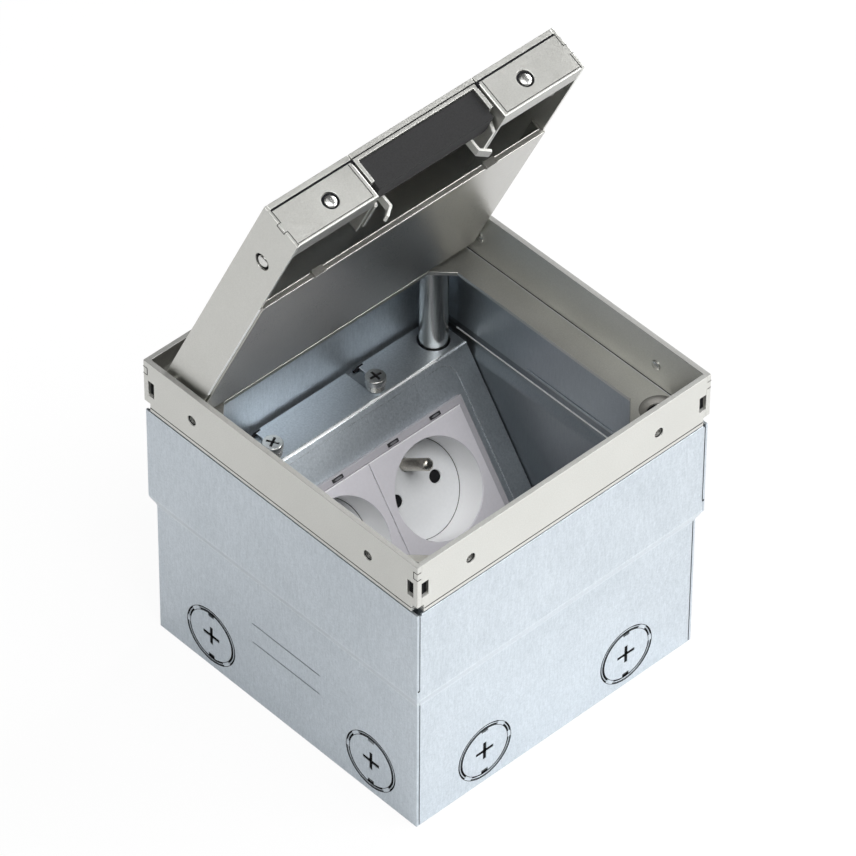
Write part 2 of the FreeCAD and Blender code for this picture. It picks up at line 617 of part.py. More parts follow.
# Two angle brackets on the back wall carry the shelf, and a screw in each clamps it
brackets = []
screws = []
SHELF_LOW = "(carrier_height - carrier_sheet)"
for way in (-1, 1):
    place = f"({way}*carrier_screw_side + carrier_screw_shift)"
    side = (f"{place} - bracket_width/2", f"{place} + bracket_width/2")
    wall_face = f"({HALF_LOW} - box_sheet)"
    leg = block(side, (f"{wall_face} - bracket_sheet", wall_face), (f"{SHELF_LOW} - bracket_drop", SHELF_LOW))
    tongue = block(
        side,
        (f"{BEND} + {BEND_SHIFT} + bracket_relief", wall_face),
        (f"{SHELF_LOW} - bracket_sheet", SHELF_LOW),
    )
    thread_low = f"{SHELF_LOW} - 2*bracket_sheet"
    thread = rod("z", "carrier_screw_radius", (place, CLAMP_Y, thread_low), "3*bracket_sheet")
    relief = block(
        (place, f"{place} + bend_relief_width"),
        (f"{SHELF_BACK} - bend_relief_depth", f"{wall_face} + {CUT_PAST}"),
        (f"{SHELF_LOW} - 2*bracket_sheet", f"{SHELF_LOW} + {CUT_PAST}"),
    )
    brackets.append(cut(fuse(leg, tongue), thread, relief))
    top = "(carrier_height + carrier_screw_proud)"
    head = rod(
        "z", "carrier_screw_head", (place, CLAMP_Y, f"{top} - carrier_screw_head_height"),
        "carrier_screw_head_height",
    )
    shank = rod(
        "z", "carrier_screw_radius", (place, CLAMP_Y, f"{top} - carrier_screw_length"),
        "carrier_screw_length - carrier_screw_head_height",
    )
    arm, width = "cross_length/2", "cross_width/2"
    cross = [
        block(
            (f"{place} - {wide}", f"{place} + {wide}"),
            (f"{CLAMP_Y} - {deep}", f"{CLAMP_Y} + {deep}"),
            (f"{top} - cross_depth", f"{top} + cross_depth"),
        )
        for wide, deep in ((arm, width), (width, arm))
    ]
    screws.append(cut(fuse(head, shank), *cross))
node("carrier_brackets", group(*brackets))
node("carrier_screws", group(*screws))


# The socket modules, clipped side by side into a support frame on the slope

frame_outer = block(
    (f"{PAIR_LEFT} - support_border", f"{PAIR_RIGHT} + support_border"),
    (f"{MODULE_LOW} - support_border", f"{MODULE_TOP} + support_border"),
    ("-panel_depth", "support_thick"),
)
frame_hole = block((PAIR_LEFT, PAIR_RIGHT), (MODULE_LOW, MODULE_TOP), ("-2*support_thick", "2*support_thick"))
node("module_support_frame", lay_on_slope(cut(frame_outer, frame_hole)))

# The clips stand in the middle of the border, at these shares of the two modules' width
CLIP_COLUMNS = (0.12, 0.32, 0.62, 0.85)
clips = []
for column in CLIP_COLUMNS:
    place = f"({PAIR_LEFT} + {column}*2*module_size)"
    for middle in (f"({MODULE_TOP} + support_border/2)", f"({MODULE_LOW} - support_border/2)"):
        clips.append(block(
            (place, f"{place} + clip_length"),
            (f"{middle} - clip_width/2", f"{middle} + clip_width/2"),
            ("support_thick", "support_thick + clip_thick"),
        ))
node("support_frame_clips", lay_on_slope(group(*clips)))

WELL_FLOOR = "(module_proud - well_depth)"
BASE_TOP = f"({WELL_FLOOR} - well_wall)"
BASE_LOW = f"({BASE_TOP} - base_depth)"
EARTH_Y = f"({MODULE_MID} + earth_offset)"
CONTACT_SIDES = ("-contact_spacing/2", "contact_spacing/2")
WIRE_SIDES = ("-wire_spacing", "0", "wire_spacing")
earth_pins = []
contacts = []
terminals = []
for index, middle in MODULES:
    plate = block(
        (f"{middle} - module_size/2 + module_seam", f"{middle} + module_size/2 - module_seam"),
        (f"{MODULE_LOW} + module_seam", f"{MODULE_TOP} - module_seam"),
        ("-panel_depth", "module_proud"),
    )
    cup = rod("z", "well_radius + well_wall", (middle, MODULE_MID, BASE_TOP), "well_depth + well_wall")
    hollow = rod("z", "well_radius", (middle, MODULE_MID, WELL_FLOOR), "2*well_depth")
    below = f"{BASE_TOP} - well_wall"
    holes = [
        rod("z", "contact_radius", (f"{middle} + {side}", MODULE_MID, below), "3*well_wall")
        for side in CONTACT_SIDES
    ]
    holes.append(rod("z", "earth_radius + pin_fit", (middle, EARTH_Y, below), "3*well_wall"))
    node(f"socket_cover_{index}", lay_on_slope(cut(fuse(plate, cup), hollow, *holes)))

    base_block = block(
        (f"{middle} - base_width/2", f"{middle} + base_width/2"),
        (f"{MODULE_MID} - base_width/2", f"{MODULE_MID} + base_width/2"),
        (BASE_LOW, BASE_TOP),
    )
    contact_low = f"({BASE_LOW} + base_back)"
    seats = [
        rod("z", "contact_radius", (f"{middle} + {side}", MODULE_MID, contact_low), "base_depth")
        for side in CONTACT_SIDES
    ]
    seats.append(rod("z", "earth_radius", (middle, EARTH_Y, f"{BASE_TOP} - earth_seat"), "2*earth_seat"))
    seats += [
        rod(
            "y", "wire_hole_radius",
            (f"{middle} + {side}", f"{MODULE_MID} - base_width/2 - {CUT_PAST}", f"{BASE_TOP} - base_depth/2"),
            f"wire_hole_depth + {CUT_PAST}",
        )
        for side in WIRE_SIDES
    ]
    node(f"socket_base_{index}", lay_on_slope(cut(base_block, *seats)))

    shaft = rod(
        "z", "earth_radius", (middle, EARTH_Y, f"{BASE_TOP} - earth_seat"),
        "earth_length - earth_radius/2 + earth_seat + well_wall",
    )
    nose = rod(
        "z", "earth_radius", (middle, EARTH_Y, f"{WELL_FLOOR} + earth_length - earth_radius/2"),
        "earth_radius/2", tip="earth_radius/2",
    )
    earth_pins.append(fuse(shaft, nose))
    for side in CONTACT_SIDES:
        spot = (f"{middle} + {side}", MODULE_MID)
        sleeve = rod("z", "contact_radius", (*spot, contact_low), "base_depth - base_back - sleeve_short")
        bore = rod("z", "contact_radius - sleeve_wall", (*spot, f"{contact_low} + sleeve_wall"), "base_depth")
        contacts.append(cut(sleeve, bore))
    for side in WIRE_SIDES:
        x, y, z = f"({middle} + {side})", f"({MODULE_MID} - base_width/4)", f"({BASE_LOW} - terminal_height)"
        screw_head = rod("z", "terminal_radius", (x, y, z), "terminal_height")
        slot = block(
            (f"{x} - 2*terminal_radius", f"{x} + 2*terminal_radius"),
            (f"{y} - terminal_slot/2", f"{y} + terminal_slot/2"),
            (f"{z} - terminal_height", f"{z} + terminal_height/2"),
        )
        terminals.append(cut(screw_head, slot))
node("earth_pins", lay_on_slope(group(*earth_pins)))
node("line_contacts", lay_on_slope(group(*contacts)))
node("terminal_screws", lay_on_slope(group(*terminals)))


# The top frame: four walls with tongued corners on a flange with levelling posts

flange_body = new_body("flange_blank")
flange_sketch = sketch_on(flange_body, "XY_Plane")
FRAME_HALF = "frame_size/2"
NOTCH = "(frame_size/2 - flange_corner)"
outline(flange_sketch, [
    (f"-{NOTCH}", f"-{FRAME_HALF}"), (NOTCH, f"-{FRAME_HALF}"),
    (NOTCH, f"-{NOTCH}"), (FRAME_HALF, f"-{NOTCH}"),
    (FRAME_HALF, NOTCH), (NOTCH, NOTCH),
    (NOTCH, FRAME_HALF), (f"-{NOTCH}", FRAME_HALF),
    (f"-{NOTCH}", NOTCH), (f"-{FRAME_HALF}", NOTCH),
    (f"-{FRAME_HALF}", f"-{NOTCH}"), (f"-{NOTCH}", f"-{NOTCH}"),
])
OPEN_SIDE = "(frame_size/2 - flange_side)"
OPEN_BACK = "(frame_size/2 - flange_back)"
OPEN_FRONT = "(frame_size/2 - flange_front)"
RELIEF = "(frame_size/2 - relief_edge)"
SIDE_CUT = f"(frame_size - flange_bevel - {OPEN_SIDE})"
BACK_CUT = f"(frame_size - flange_bevel - {OPEN_BACK})"
FRONT_CUT = f"(frame_size - flange_bevel - {OPEN_FRONT})"
outline(flange_sketch, [
    (OPEN_SIDE, f"-{SIDE_CUT}"), (OPEN_SIDE, SIDE_CUT),
    (BACK_CUT, OPEN_BACK), (f"-{BACK_CUT}", OPEN_BACK),
    (f"-{OPEN_SIDE}", SIDE_CUT), (f"-{OPEN_SIDE}", f"-{SIDE_CUT}"),
    (f"-{FRONT_CUT}", f"-{OPEN_FRONT}"), ("-relief_half", f"-{OPEN_FRONT}"),
    ("-relief_half", f"-{RELIEF}"), ("relief_half", f"-{RELIEF}"),
    ("relief_half", f"-{OPEN_FRONT}"), (FRONT_CUT, f"-{OPEN_FRONT}"),
])
pad(flange_body, flange_sketch, "flange_sheet")
bind(flange_body, "Placement.Base.z", FLANGE_LOW)

POSTS = {
    "front_left": (-1, -1),
    "front_right": (1, -1),
    "back_left": (-1, 1),
    "back_right": (1, 1),
}


def post_at(name):
    way_x, way_y = POSTS[name]
    if way_y > 0:
        return f"{way_x}*{POST}", POST
    return f"{way_x}*(frame_size/2 - post_front_side)", "(post_front_inset - frame_size/2)"


dishes = []
for name in POSTS:
    x, y = post_at(name)
    dishes.append(rod("z", "tube_bore", (x, y, f"{FLANGE_LOW} - flange_sheet"), "3*flange_sheet"))
    dish_low = f"{FLANGE_TOP} - dish_depth"
    dishes.append(rod("z", "tube_bore", (x, y, dish_low), "dish_depth", tip="dish_radius"))
node("frame_flange", cut(flange_body, *dishes))

SET_SIDE = "(frame_size/2 - set_screw_inset)"
SET_HEIGHT = f"({FRAME_TOP} - set_screw_drop)"
TONGUE_SPAN = (f"{FRAME_TOP} - tongue_low", f"{FRAME_TOP} - tongue_top")
CORNER_NOTCH_SPAN = (f"{FLANGE_TOP} - {CUT_PAST}", f"{FLANGE_TOP} + corner_notch_height")
CORNER_SLOT_SPAN = (f"{FRAME_TOP} - corner_slot_top - corner_slot_height", f"{FRAME_TOP} - corner_slot_top")

for label, sign in (("frame_wall_left", -1), ("frame_wall_right", 1)):
    near = f"{sign}*(frame_size/2 - frame_wall/2)"
    across = (f"{near} - frame_wall/2", f"{near} + frame_wall/2")
    wide = (f"{near} - frame_wall", f"{near} + frame_wall")
    plate = block(across, (f"-{FRAME_HALF}", FRAME_HALF), (FLANGE_TOP, FRAME_TOP))
    pin_start = f"{sign}*({FRAME_IN} + hinge_pin_sunk/2) - hinge_pin_sunk/2"
    tools = [
        rod("x", "hinge_pin_radius", (pin_start, HINGE_Y, f"{FRAME_TOP} - hinge_drop"), "hinge_pin_sunk"),
    ]
    for way in (-1, 1):
        mouth = f"{way}*({FRAME_HALF} - frame_wall/2)"
        tools.append(block(wide, (f"{mouth} - frame_wall/2", f"{mouth} + frame_wall/2"), TONGUE_SPAN))
        slot_mid = f"{way}*({FRAME_HALF} - corner_slot_start - corner_slot_width/2)"
        slot_span = (f"{slot_mid} - corner_slot_width/2", f"{slot_mid} + corner_slot_width/2")
        tools.append(block(wide, slot_span, CORNER_SLOT_SPAN))
        notch_mid = f"{way}*{FRAME_HALF}"
        notch_span = (f"{notch_mid} - corner_notch_width", f"{notch_mid} + corner_notch_width")
        tools.append(block(wide, notch_span, CORNER_NOTCH_SPAN))
        beside = f"{way}*{SET_SIDE}"
        tools.append(rod("x", "set_screw_radius", (f"{near} - frame_wall", beside, SET_HEIGHT), "2*frame_wall"))
    node(label, cut(plate, *tools))

for label, sign in (("frame_wall_front", -1), ("frame_wall_back", 1)):
    near = f"{sign}*(frame_size/2 - frame_wall/2)"
    across = (f"{near} - frame_wall/2", f"{near} + frame_wall/2")
    wide = (f"{near} - frame_wall", f"{near} + frame_wall")
    plate = block((f"-{FRAME_IN}", FRAME_IN), across, (FLANGE_TOP, FRAME_TOP))
    tongues = block((f"-{FRAME_HALF}", FRAME_HALF), across, TONGUE_SPAN)
    tools = []
    for way in (-1, 1):
        slot_mid = f"{way}*({FRAME_HALF} - corner_slot_width/2)"
        slot_half = "(corner_slot_width/2 + corner_slot_start)"
        tools.append(block((f"{slot_mid} - {slot_half}", f"{slot_mid} + {slot_half}"), wide, CORNER_SLOT_SPAN))
        notch_mid = f"{way}*{FRAME_HALF}"
        notch_span = (f"{notch_mid} - corner_notch_width", f"{notch_mid} + corner_notch_width")
        tools.append(block(notch_span, wide, CORNER_NOTCH_SPAN))
        beside = f"{way}*{SET_SIDE}"
        tools.append(rod("y", "set_screw_radius", (beside, f"{near} - frame_wall", SET_HEIGHT), "2*frame_wall"))
    node(label, cut(fuse(plate, tongues), *tools))

set_screws = []
SCREW_REACH = "(frame_wall - set_screw_sunk + set_screw_proud)"
SCREW_MID = f"({FRAME_IN} - set_screw_proud + {SCREW_REACH}/2)"
for sign in (-1, 1):
    for way in (-1, 1):
        start = f"{sign}*{SCREW_MID} - {SCREW_REACH}/2"
        beside = f"{way}*{SET_SIDE}"
        key = f"{sign}*{SCREW_MID} + {sign}*{SCREW_REACH}/2 - set_screw_key"
        for axis, spot, mouth in (
            ("x", (start, beside, SET_HEIGHT), (key, beside, SET_HEIGHT)),
            ("y", (beside, start, SET_HEIGHT), (beside, key, SET_HEIGHT)),
        ):
            set_screws.append(cut(
                rod(axis, "set_screw_radius", spot, SCREW_REACH),
                rod(axis, "set_screw_radius/2", mouth, "2*set_screw_key"),
            ))
node("frame_set_screws", group(*set_screws))

for name in POSTS:
    x, y = post_at(name)
    tube_low = f"({FLANGE_LOW} - tube_length)"
    node(f"levelling_tube_{name}", cut(
        rod("z", "tube_radius", (x, y, tube_low), "tube_length"),
        rod("z", "screw_radius + screw_fit", (x, y, f"{tube_low} - 1"), "tube_length + 2"),
        rod("z", "tube_bore", (x, y, f"{tube_low} + tube_thread_length"), "tube_length"),
    ))
    screw_top = "(box_sheet + screw_length)"
    node(f"levelling_screw_{name}", cut(
        fuse(
            rod("z", "screw_radius - 1", (x, y, "box_sheet"), "1", tip="screw_radius"),
            rod("z", "screw_radius", (x, y, "box_sheet + 1"), "screw_length - 1"),
        ),
        hexagon(x, y, f"{screw_top} - screw_hex_depth", "screw_hex", "screw_hex_depth + 1"),
    ))

LID_HALF = f"({FRAME_IN} - lid_gap)"
for label, sign in (("hinge_pin_left", -1), ("hinge_pin_right", 1)):
    reach = "(hinge_pin_sunk + lid_gap + lid_sheet + hinge_block_thick - hinge_pin_short)"
    outer = f"({FRAME_IN} + hinge_pin_sunk)"
    start = f"{sign}*({outer} - {reach}/2) - {reach}/2"
    node(label, group(rod("x", "hinge_pin_radius", (start, HINGE_Y, f"{FRAME_TOP} - hinge_drop"), reach)))


# The lid, built closed about its hinge axis and then turned open

LID_FRONT = f"(-{LID_HALF} - {HINGE_Y})"
LID_BACK = f"({LID_HALF} - {HINGE_Y})"
LID_TOP = "hinge_drop"
PLATE_LOW = "(hinge_drop - lid_plate)"
LID_LOW = "(hinge_drop - lid_depth)"
SIDE_IN = f"({LID_HALF} - lid_sheet)"


def hang_on_hinge(feature):
    """Put a feature, built closed about the hinge axis, on the open lid."""
    feature.Placement = FreeCAD.Placement(ORIGIN, FreeCAD.Rotation(X_AXIS, -SIZE["lid_open"]))
    bind(feature, "Placement.Rotation.Angle", "-lid_open")
    bind(feature, "Placement.Base.y", HINGE_Y)
    bind(feature, "Placement.Base.z", f"{FRAME_TOP} - hinge_drop")
    return feature


def lid_node(label, feature):
    return node(label, hang_on_hinge(feature))


lid_node("lid_top_plate", cut(
    block((f"-{SIDE_IN}", SIDE_IN), (LID_FRONT, LID_BACK), (PLATE_LOW, LID_TOP)),
    block(
        ("-flap_half - flap_gap", "flap_half + flap_gap"),
        (f"{LID_FRONT} - {CUT_PAST}", f"{LID_FRONT} + flap_length + flap_gap"),
        (f"{PLATE_LOW} - lid_plate", f"{LID_TOP} + lid_plate"),
    ),
))

FRONT_TOP = f"({PLATE_LOW} - front_gap)"
RIVET_Z = "(hinge_drop - rivet_drop)"
FRONT_RIVET_X = f"({LID_HALF} - rivet_front)"
SIDE_RIVET_Y = f"({LID_FRONT} + rivet_side_back)"
SIDE_RIVET_Z = "(hinge_drop - rivet_side_drop)"
FINGER_SPAN = ("hinge_drop - finger_low", "hinge_drop - finger_top")
for label, sign in (("lid_side_left", -1), ("lid_side_right", 1)):
    near = f"{sign}*({LID_HALF} - lid_sheet/2)"
    across = (f"{near} - lid_sheet/2", f"{near} + lid_sheet/2")
    plate = block(across, (LID_FRONT, LID_BACK), (LID_LOW, LID_TOP))
    inner = f"{sign}*({SIDE_IN} - rivet_boss/2) - rivet_boss/2"
    outer = f"{near} - lid_sheet/2"
    boss = rod("x", "rivet_radius + rivet_boss_rim", (inner, SIDE_RIVET_Y, SIDE_RIVET_Z), "rivet_boss")
    recess = rod("x", "rivet_radius + rivet_ring", (outer, SIDE_RIVET_Y, SIDE_RIVET_Z), "lid_sheet")
    shank_start = f"{near} - {CUT_PAST}"
    shank_hole = rod("x", "rivet_shank + rivet_fit", (shank_start, SIDE_RIVET_Y, SIDE_RIVET_Z), f"2*{CUT_PAST}")
    pin_hole = rod("x", "hinge_pin_radius + hinge_fit", (f"{near} - 2*lid_sheet", "0", "0"), "4*lid_sheet")
    finger = block(
        (f"{near} - lid_sheet", f"{near} + lid_sheet"),
        (f"{LID_FRONT} - lid_sheet", f"{LID_FRONT} + lid_sheet"),
        FINGER_SPAN,
    )
    bevel_span = ("-lid_back_bevel", "lid_back_bevel")
    bevel = block(bevel_span, bevel_span, bevel_span)
    bevel_turned = moved(group(bevel), near, LID_BACK, LID_LOW, X_AXIS, 45)
    lid_node(label, cut(fuse(plate, boss), recess, shank_hole, pin_hole, finger, bevel_turned))

    block_in = f"{sign}*({SIDE_IN} - hinge_block_thick/2)"
    lid_node(label.replace("lid_side", "hinge_block"), cut(
        block(
            (f"{block_in} - hinge_block_thick/2", f"{block_in} + hinge_block_thick/2"),
            ("-hinge_block_length/2", "hinge_block_length/2"),
            (f"{PLATE_LOW} - hinge_block_height", PLATE_LOW),
        ),
        rod("x", "hinge_pin_radius + hinge_fit", (f"{block_in} - {CUT_PAST}", "0", "0"), f"2*{CUT_PAST}"),
    ))

lid_node("lid_back_wall", group(block(
    (f"-{SIDE_IN}", SIDE_IN),
    (f"{LID_BACK} - lid_sheet", LID_BACK),
    (f"{LID_LOW} + lid_back_bevel", PLATE_LOW),
)))

END_WALL = "(flap_half - flap_inset + flap_side_gap)"
FLAP_Y = f"({LID_FRONT} + flap_axis_back)"
FLAP_Z = "(hinge_drop - flap_axis_drop)"
for label, sign in (("lid_front_left", -1), ("lid_front_right", 1)):
    middle = f"{sign}*({SIDE_IN} + {END_WALL})/2"
    half = f"({SIDE_IN} - {END_WALL})/2"
    full = (f"{middle} - {half}", f"{middle} + {half}")
    plate = block(full, (LID_FRONT, f"{LID_FRONT} + lid_sheet"), (LID_LOW, FRONT_TOP))
    bottom = block(full, (LID_FRONT, f"{LID_FRONT} + front_return"), (LID_LOW, f"{LID_LOW} + lid_sheet"))
    end_near = f"{sign}*({END_WALL} + lid_sheet/2)"
    end = block((f"{end_near} - lid_sheet/2", f"{end_near} + lid_sheet/2"),
                (LID_FRONT, f"{LID_FRONT} + front_end_depth"), (LID_LOW, FRONT_TOP))
    shelf = block((f"{end_near} - lid_sheet/2", f"{end_near} + lid_sheet/2"),
                  (f"{LID_FRONT} + flap_length + 1", f"{LID_FRONT} + front_end_depth"), (LID_LOW, PLATE_LOW))
    finger = block(
        (f"{sign}*{SIDE_IN} - lid_sheet", f"{sign}*{SIDE_IN} + lid_sheet"),
        (LID_FRONT, f"{LID_FRONT} + lid_sheet"),
        FINGER_SPAN,
    )
    spot = f"{sign}*{FRONT_RIVET_X}"
    boss_start = f"{LID_FRONT} + lid_sheet"
    boss = rod("y", "rivet_radius + rivet_boss_rim", (spot, boss_start, RIVET_Z), "rivet_boss")
    recess = rod("y", "rivet_radius + rivet_ring", (spot, f"{LID_FRONT} - 1", RIVET_Z), "lid_sheet + 1")
    shank_hole = rod("y", "rivet_shank + rivet_fit", (spot, f"{LID_FRONT} - 1", RIVET_Z), "8")
    pin_hole = rod("x", "flap_pin_radius + flap_pin_fit", (f"{end_near} - 3", FLAP_Y, FLAP_Z), "6")
    lid_node(label, cut(fuse(plate, bottom, end, shelf, finger, boss), recess, shank_hole, pin_hole))


def front_rivet(x):
    """A round-headed rivet with a dimple, its head level with the lid's front."""
    head_top = LID_FRONT
    return cut(
        fuse(
            rod("y", "rivet_radius", (x, head_top, RIVET_Z), "rivet_head"),
            rod("y", "rivet_shank", (x, head_top, RIVET_Z), "rivet_length"),
        ),
        rod("y", "rivet_dimple", (x, f"{head_top} - rivet_dimple_depth", RIVET_Z), "2*rivet_dimple_depth"),
    )


def side_rivet(sign):
    """The same rivet in a side sheet, its head level with the sheet's outer face."""
    face = f"{sign}*{LID_HALF}"
    dimple = f"{face} - rivet_dimple_depth"

    def along(length):
        return f"{face} - ({length})" if sign > 0 else face

    return cut(
        fuse(
            rod("x", "rivet_radius", (along("rivet_head"), SIDE_RIVET_Y, SIDE_RIVET_Z), "rivet_head"),
            rod("x", "rivet_shank", (along("rivet_length"), SIDE_RIVET_Y, SIDE_RIVET_Z), "rivet_length"),
        ),
        rod("x", "rivet_dimple", (dimple, SIDE_RIVET_Y, SIDE_RIVET_Z), "2*rivet_dimple_depth"),
    )


lid_node("lid_front_rivets", group(*[front_rivet(f"{sign}*{FRONT_RIVET_X}") for sign in (-1, 1)]))
lid_node("lid_side_rivets", group(*[side_rivet(sign) for sign in (-1, 1)]))

PAN_FRONT = f"({LID_FRONT} + pan_start)"
PAN_BACK = f"({LID_BACK} - lid_sheet)"
PAN_LOW = f"({LID_LOW} - pan_sheet)"
PAN_END = f"({PAN_BACK} - lid_back_bevel)"
PAN_HALF = f"({SIDE_IN} + lid_sheet/2)"
HEM_SPAN = (PAN_FRONT, f"{PAN_FRONT} + pan_sheet")
pan_pieces = [
    block((f"-{PAN_HALF}", PAN_HALF), (PAN_FRONT, PAN_END), (PAN_LOW, LID_LOW)),
    block((f"-{SIDE_IN}", SIDE_IN), HEM_SPAN, (PAN_LOW, f"{PAN_LOW} + pan_hem")),
]
for sign in (-1, 1):
    rim_mid = f"{sign}*({SIDE_IN} - pan_sheet/2)"
    pan_pieces.append(block(
        (f"{rim_mid} - pan_sheet/2", f"{rim_mid} + pan_sheet/2"),
        (PAN_FRONT, PAN_END),
        (PAN_LOW, f"{PAN_LOW} + pan_rim"),
    ))
lid_node("lid_pan", fuse(*pan_pieces))
pan_clips = []
for sign in (-1, 1):
    clip_mid = f"{sign}*({LID_HALF} - pan_clip_side)"
    pan_clips.append(block(
        (f"{clip_mid} - pan_clip_width/2", f"{clip_mid} + pan_clip_width/2"),
        (f"{PAN_FRONT} - pan_clip_sheet", PAN_FRONT),
        (f"{PAN_LOW} - pan_clip_lap", f"{PAN_LOW} + pan_hem + pan_clip_lap"),
    ))
lid_node("lid_pan_clips", group(*pan_clips))


# The cord flap: a plate, a bracket with foam, and the springs that close it

FLAP_LEG_OUT = "(flap_half - flap_inset)"
LEG_FRONT = f"({LID_FRONT} + flap_inset)"
flap_web = block(
    (f"-{FLAP_LEG_OUT}", FLAP_LEG_OUT),
    (LEG_FRONT, f"{FLAP_Y} - flap_web_gap"),
    (f"{PLATE_LOW} - flap_sheet", PLATE_LOW),
)
flap_legs = []
for sign in (-1, 1):
    leg_body = new_body("leg_blank")
    leg_sketch = sketch_on(leg_body, "YZ_Plane")
    outline(leg_sketch, [
        (LEG_FRONT, f"{PLATE_LOW} - flap_sheet/2"),
        (LEG_FRONT, "hinge_drop - flap_leg"),
        (f"{LID_FRONT} + flap_leg_slant", "hinge_drop - flap_leg"),
        (f"{LID_FRONT} + flap_leg_knee", "hinge_drop - flap_leg_low"),
        (f"{LID_FRONT} + flap_leg_back", "hinge_drop - flap_leg_low"),
        (f"{LID_FRONT} + flap_leg_back", "hinge_drop - flap_leg_bevel_low"),
        (f"{LID_FRONT} + flap_leg_shoulder", f"{PLATE_LOW} - flap_sheet"),
        (f"{LID_FRONT} + flap_length - 1", f"{PLATE_LOW} - flap_sheet/2"),
    ])
    pad(leg_body, leg_sketch, "flap_sheet", middle=True)
    flap_legs.append(moved(group(leg_body), f"{sign}*({FLAP_LEG_OUT} - flap_sheet/2)"))
flap_pin_holes = rod("x", "flap_pin_radius", ("-2*flap_half", FLAP_Y, FLAP_Z), "4*flap_half")
lid_node("flap_bracket", cut(fuse(flap_web, *flap_legs), flap_pin_holes))
lid_node("flap_plate", group(block(
    ("-flap_half", "flap_half"), (LID_FRONT, f"{LID_FRONT} + flap_length"), (PLATE_LOW, LID_TOP),
)))
lid_node("flap_foam", group(block(
    (f"-{FLAP_LEG_OUT} + flap_sheet", f"{FLAP_LEG_OUT} - flap_sheet"),
    (f"{LID_FRONT} + foam_front", f"{LID_FRONT} + foam_back"),
    ("hinge_drop - foam_depth", f"{PLATE_LOW} - flap_sheet"),
)))

FLAP_LEG_IN = f"({FLAP_LEG_OUT} - flap_sheet)"
for side, sign in (("left", -1), ("right", 1)):
    reach = "(flap_pin_inside + flap_sheet + flap_side_gap + lid_sheet + 1)"
    inner = f"({FLAP_LEG_IN} - flap_pin_inside)"
    start = f"{sign}*({inner} + {reach}/2) - {reach}/2"
    lid_node(f"flap_pin_{side}", group(rod("x", "flap_pin_radius", (start, FLAP_Y, FLAP_Z), reach)))

    coil_radius = SIZE["flap_pin_radius"] + SIZE["spring_wire"] + SIZE["spring_bore_gap"]
    helix = Part.makeHelix(SIZE["spring_pitch"], SIZE["spring_pitch"] * SIZE["spring_turns"], coil_radius)
    ring = Part.Wire([Part.makeCircle(SIZE["spring_wire"], FreeCAD.Vector(coil_radius, 0, 0), Y_AXIS)])
    spring = doc.addObject("Part::Feature", "spring")
    spring.Shape = Part.Wire(helix.Edges).makePipeShell([ring], True, True)
    coil_end = f"({FLAP_LEG_IN} - spring_wire - spring_end_gap)"
    coil_start = f"{coil_end} - spring_pitch*spring_turns" if sign > 0 else f"-{coil_end}"
    moved(spring, coil_start, FLAP_Y, FLAP_Z, Y_AXIS, 90)
    lid_node(f"flap_spring_{side}", group(spring))

    hook_body = new_body("hook_blank")
    hook_sketch = sketch_on(hook_body, "XZ_Plane")
    tab_in = f"({FLAP_LEG_IN} - hook_sheet)"
    strip_out = "(hook_in + hook_sheet)"
    points = [
        (FLAP_LEG_IN, "hinge_drop - hook_tab"),
        (FLAP_LEG_IN, "hinge_drop - hook_shelf"),
        (strip_out, "hinge_drop - hook_shelf"),
        (strip_out, "hinge_drop - hook_knee"),
        ("hook_foot_side", "hinge_drop - hook_foot_low + hook_sheet/2"),
        ("hook_foot_side - hook_sheet/2", "hinge_drop - hook_foot_low - hook_sheet/2"),
        ("hook_in", "hinge_drop - hook_knee - hook_sheet/2"),
        ("hook_in", "hinge_drop - hook_shelf + hook_sheet"),
        (tab_in, "hinge_drop - hook_shelf + hook_sheet"),
        (tab_in, "hinge_drop - hook_tab"),
    ]
    outline(hook_sketch, points if sign > 0 else mirrored(points))
    pad(hook_body, hook_sketch, "hook_width", middle=True)
    hook_at = group(hook_body)
    bind(hook_at, "Placement.Base.y", f"{LID_FRONT} + hook_start + hook_width/2")
    lid_node(f"flap_hook_{side}", group(hook_at))


# Check every object, then write one file for each sub-part

doc.recompute()
for item in doc.Objects:
    if "Invalid" in item.State or "Error" in item.State:
        raise RuntimeError(f"{item.Label} failed: {item.State}")
os.makedirs("parts", exist_ok=True)
for label, feature in nodes.items():
    shape = feature.Shape
    if shape.isNull() or not shape.isValid() or not shape.Solids:
        raise RuntimeError(f"{label} has no valid solid")
    shape.exportStep(f"parts/{label}.step")
    print(f"{label}: {len(shape.Solids)} solids, {shape.Volume:.1f} mm3")
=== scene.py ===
import bmesh
import bpy
import math
from mathutils import Matrix, Vector


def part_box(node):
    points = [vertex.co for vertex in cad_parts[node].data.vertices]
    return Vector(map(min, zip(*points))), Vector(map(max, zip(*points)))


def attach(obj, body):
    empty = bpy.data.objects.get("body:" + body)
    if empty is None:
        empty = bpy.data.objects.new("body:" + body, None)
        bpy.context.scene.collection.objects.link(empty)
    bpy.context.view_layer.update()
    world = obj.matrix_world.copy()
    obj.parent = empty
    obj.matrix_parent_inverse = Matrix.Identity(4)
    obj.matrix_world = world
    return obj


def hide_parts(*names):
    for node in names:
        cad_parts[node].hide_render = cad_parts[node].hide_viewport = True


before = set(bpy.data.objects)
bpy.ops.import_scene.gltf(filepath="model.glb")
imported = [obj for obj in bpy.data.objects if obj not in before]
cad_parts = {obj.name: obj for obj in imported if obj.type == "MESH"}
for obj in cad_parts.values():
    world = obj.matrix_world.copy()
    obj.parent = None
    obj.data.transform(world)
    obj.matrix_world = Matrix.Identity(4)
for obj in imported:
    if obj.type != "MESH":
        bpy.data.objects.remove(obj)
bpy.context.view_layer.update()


# The box: four joggled walls of hot-dip galvanised sheet, 1 mm thick, which meet in seams at the
# corners. They are punched with knockouts for the conduits, and the left one has level lines.

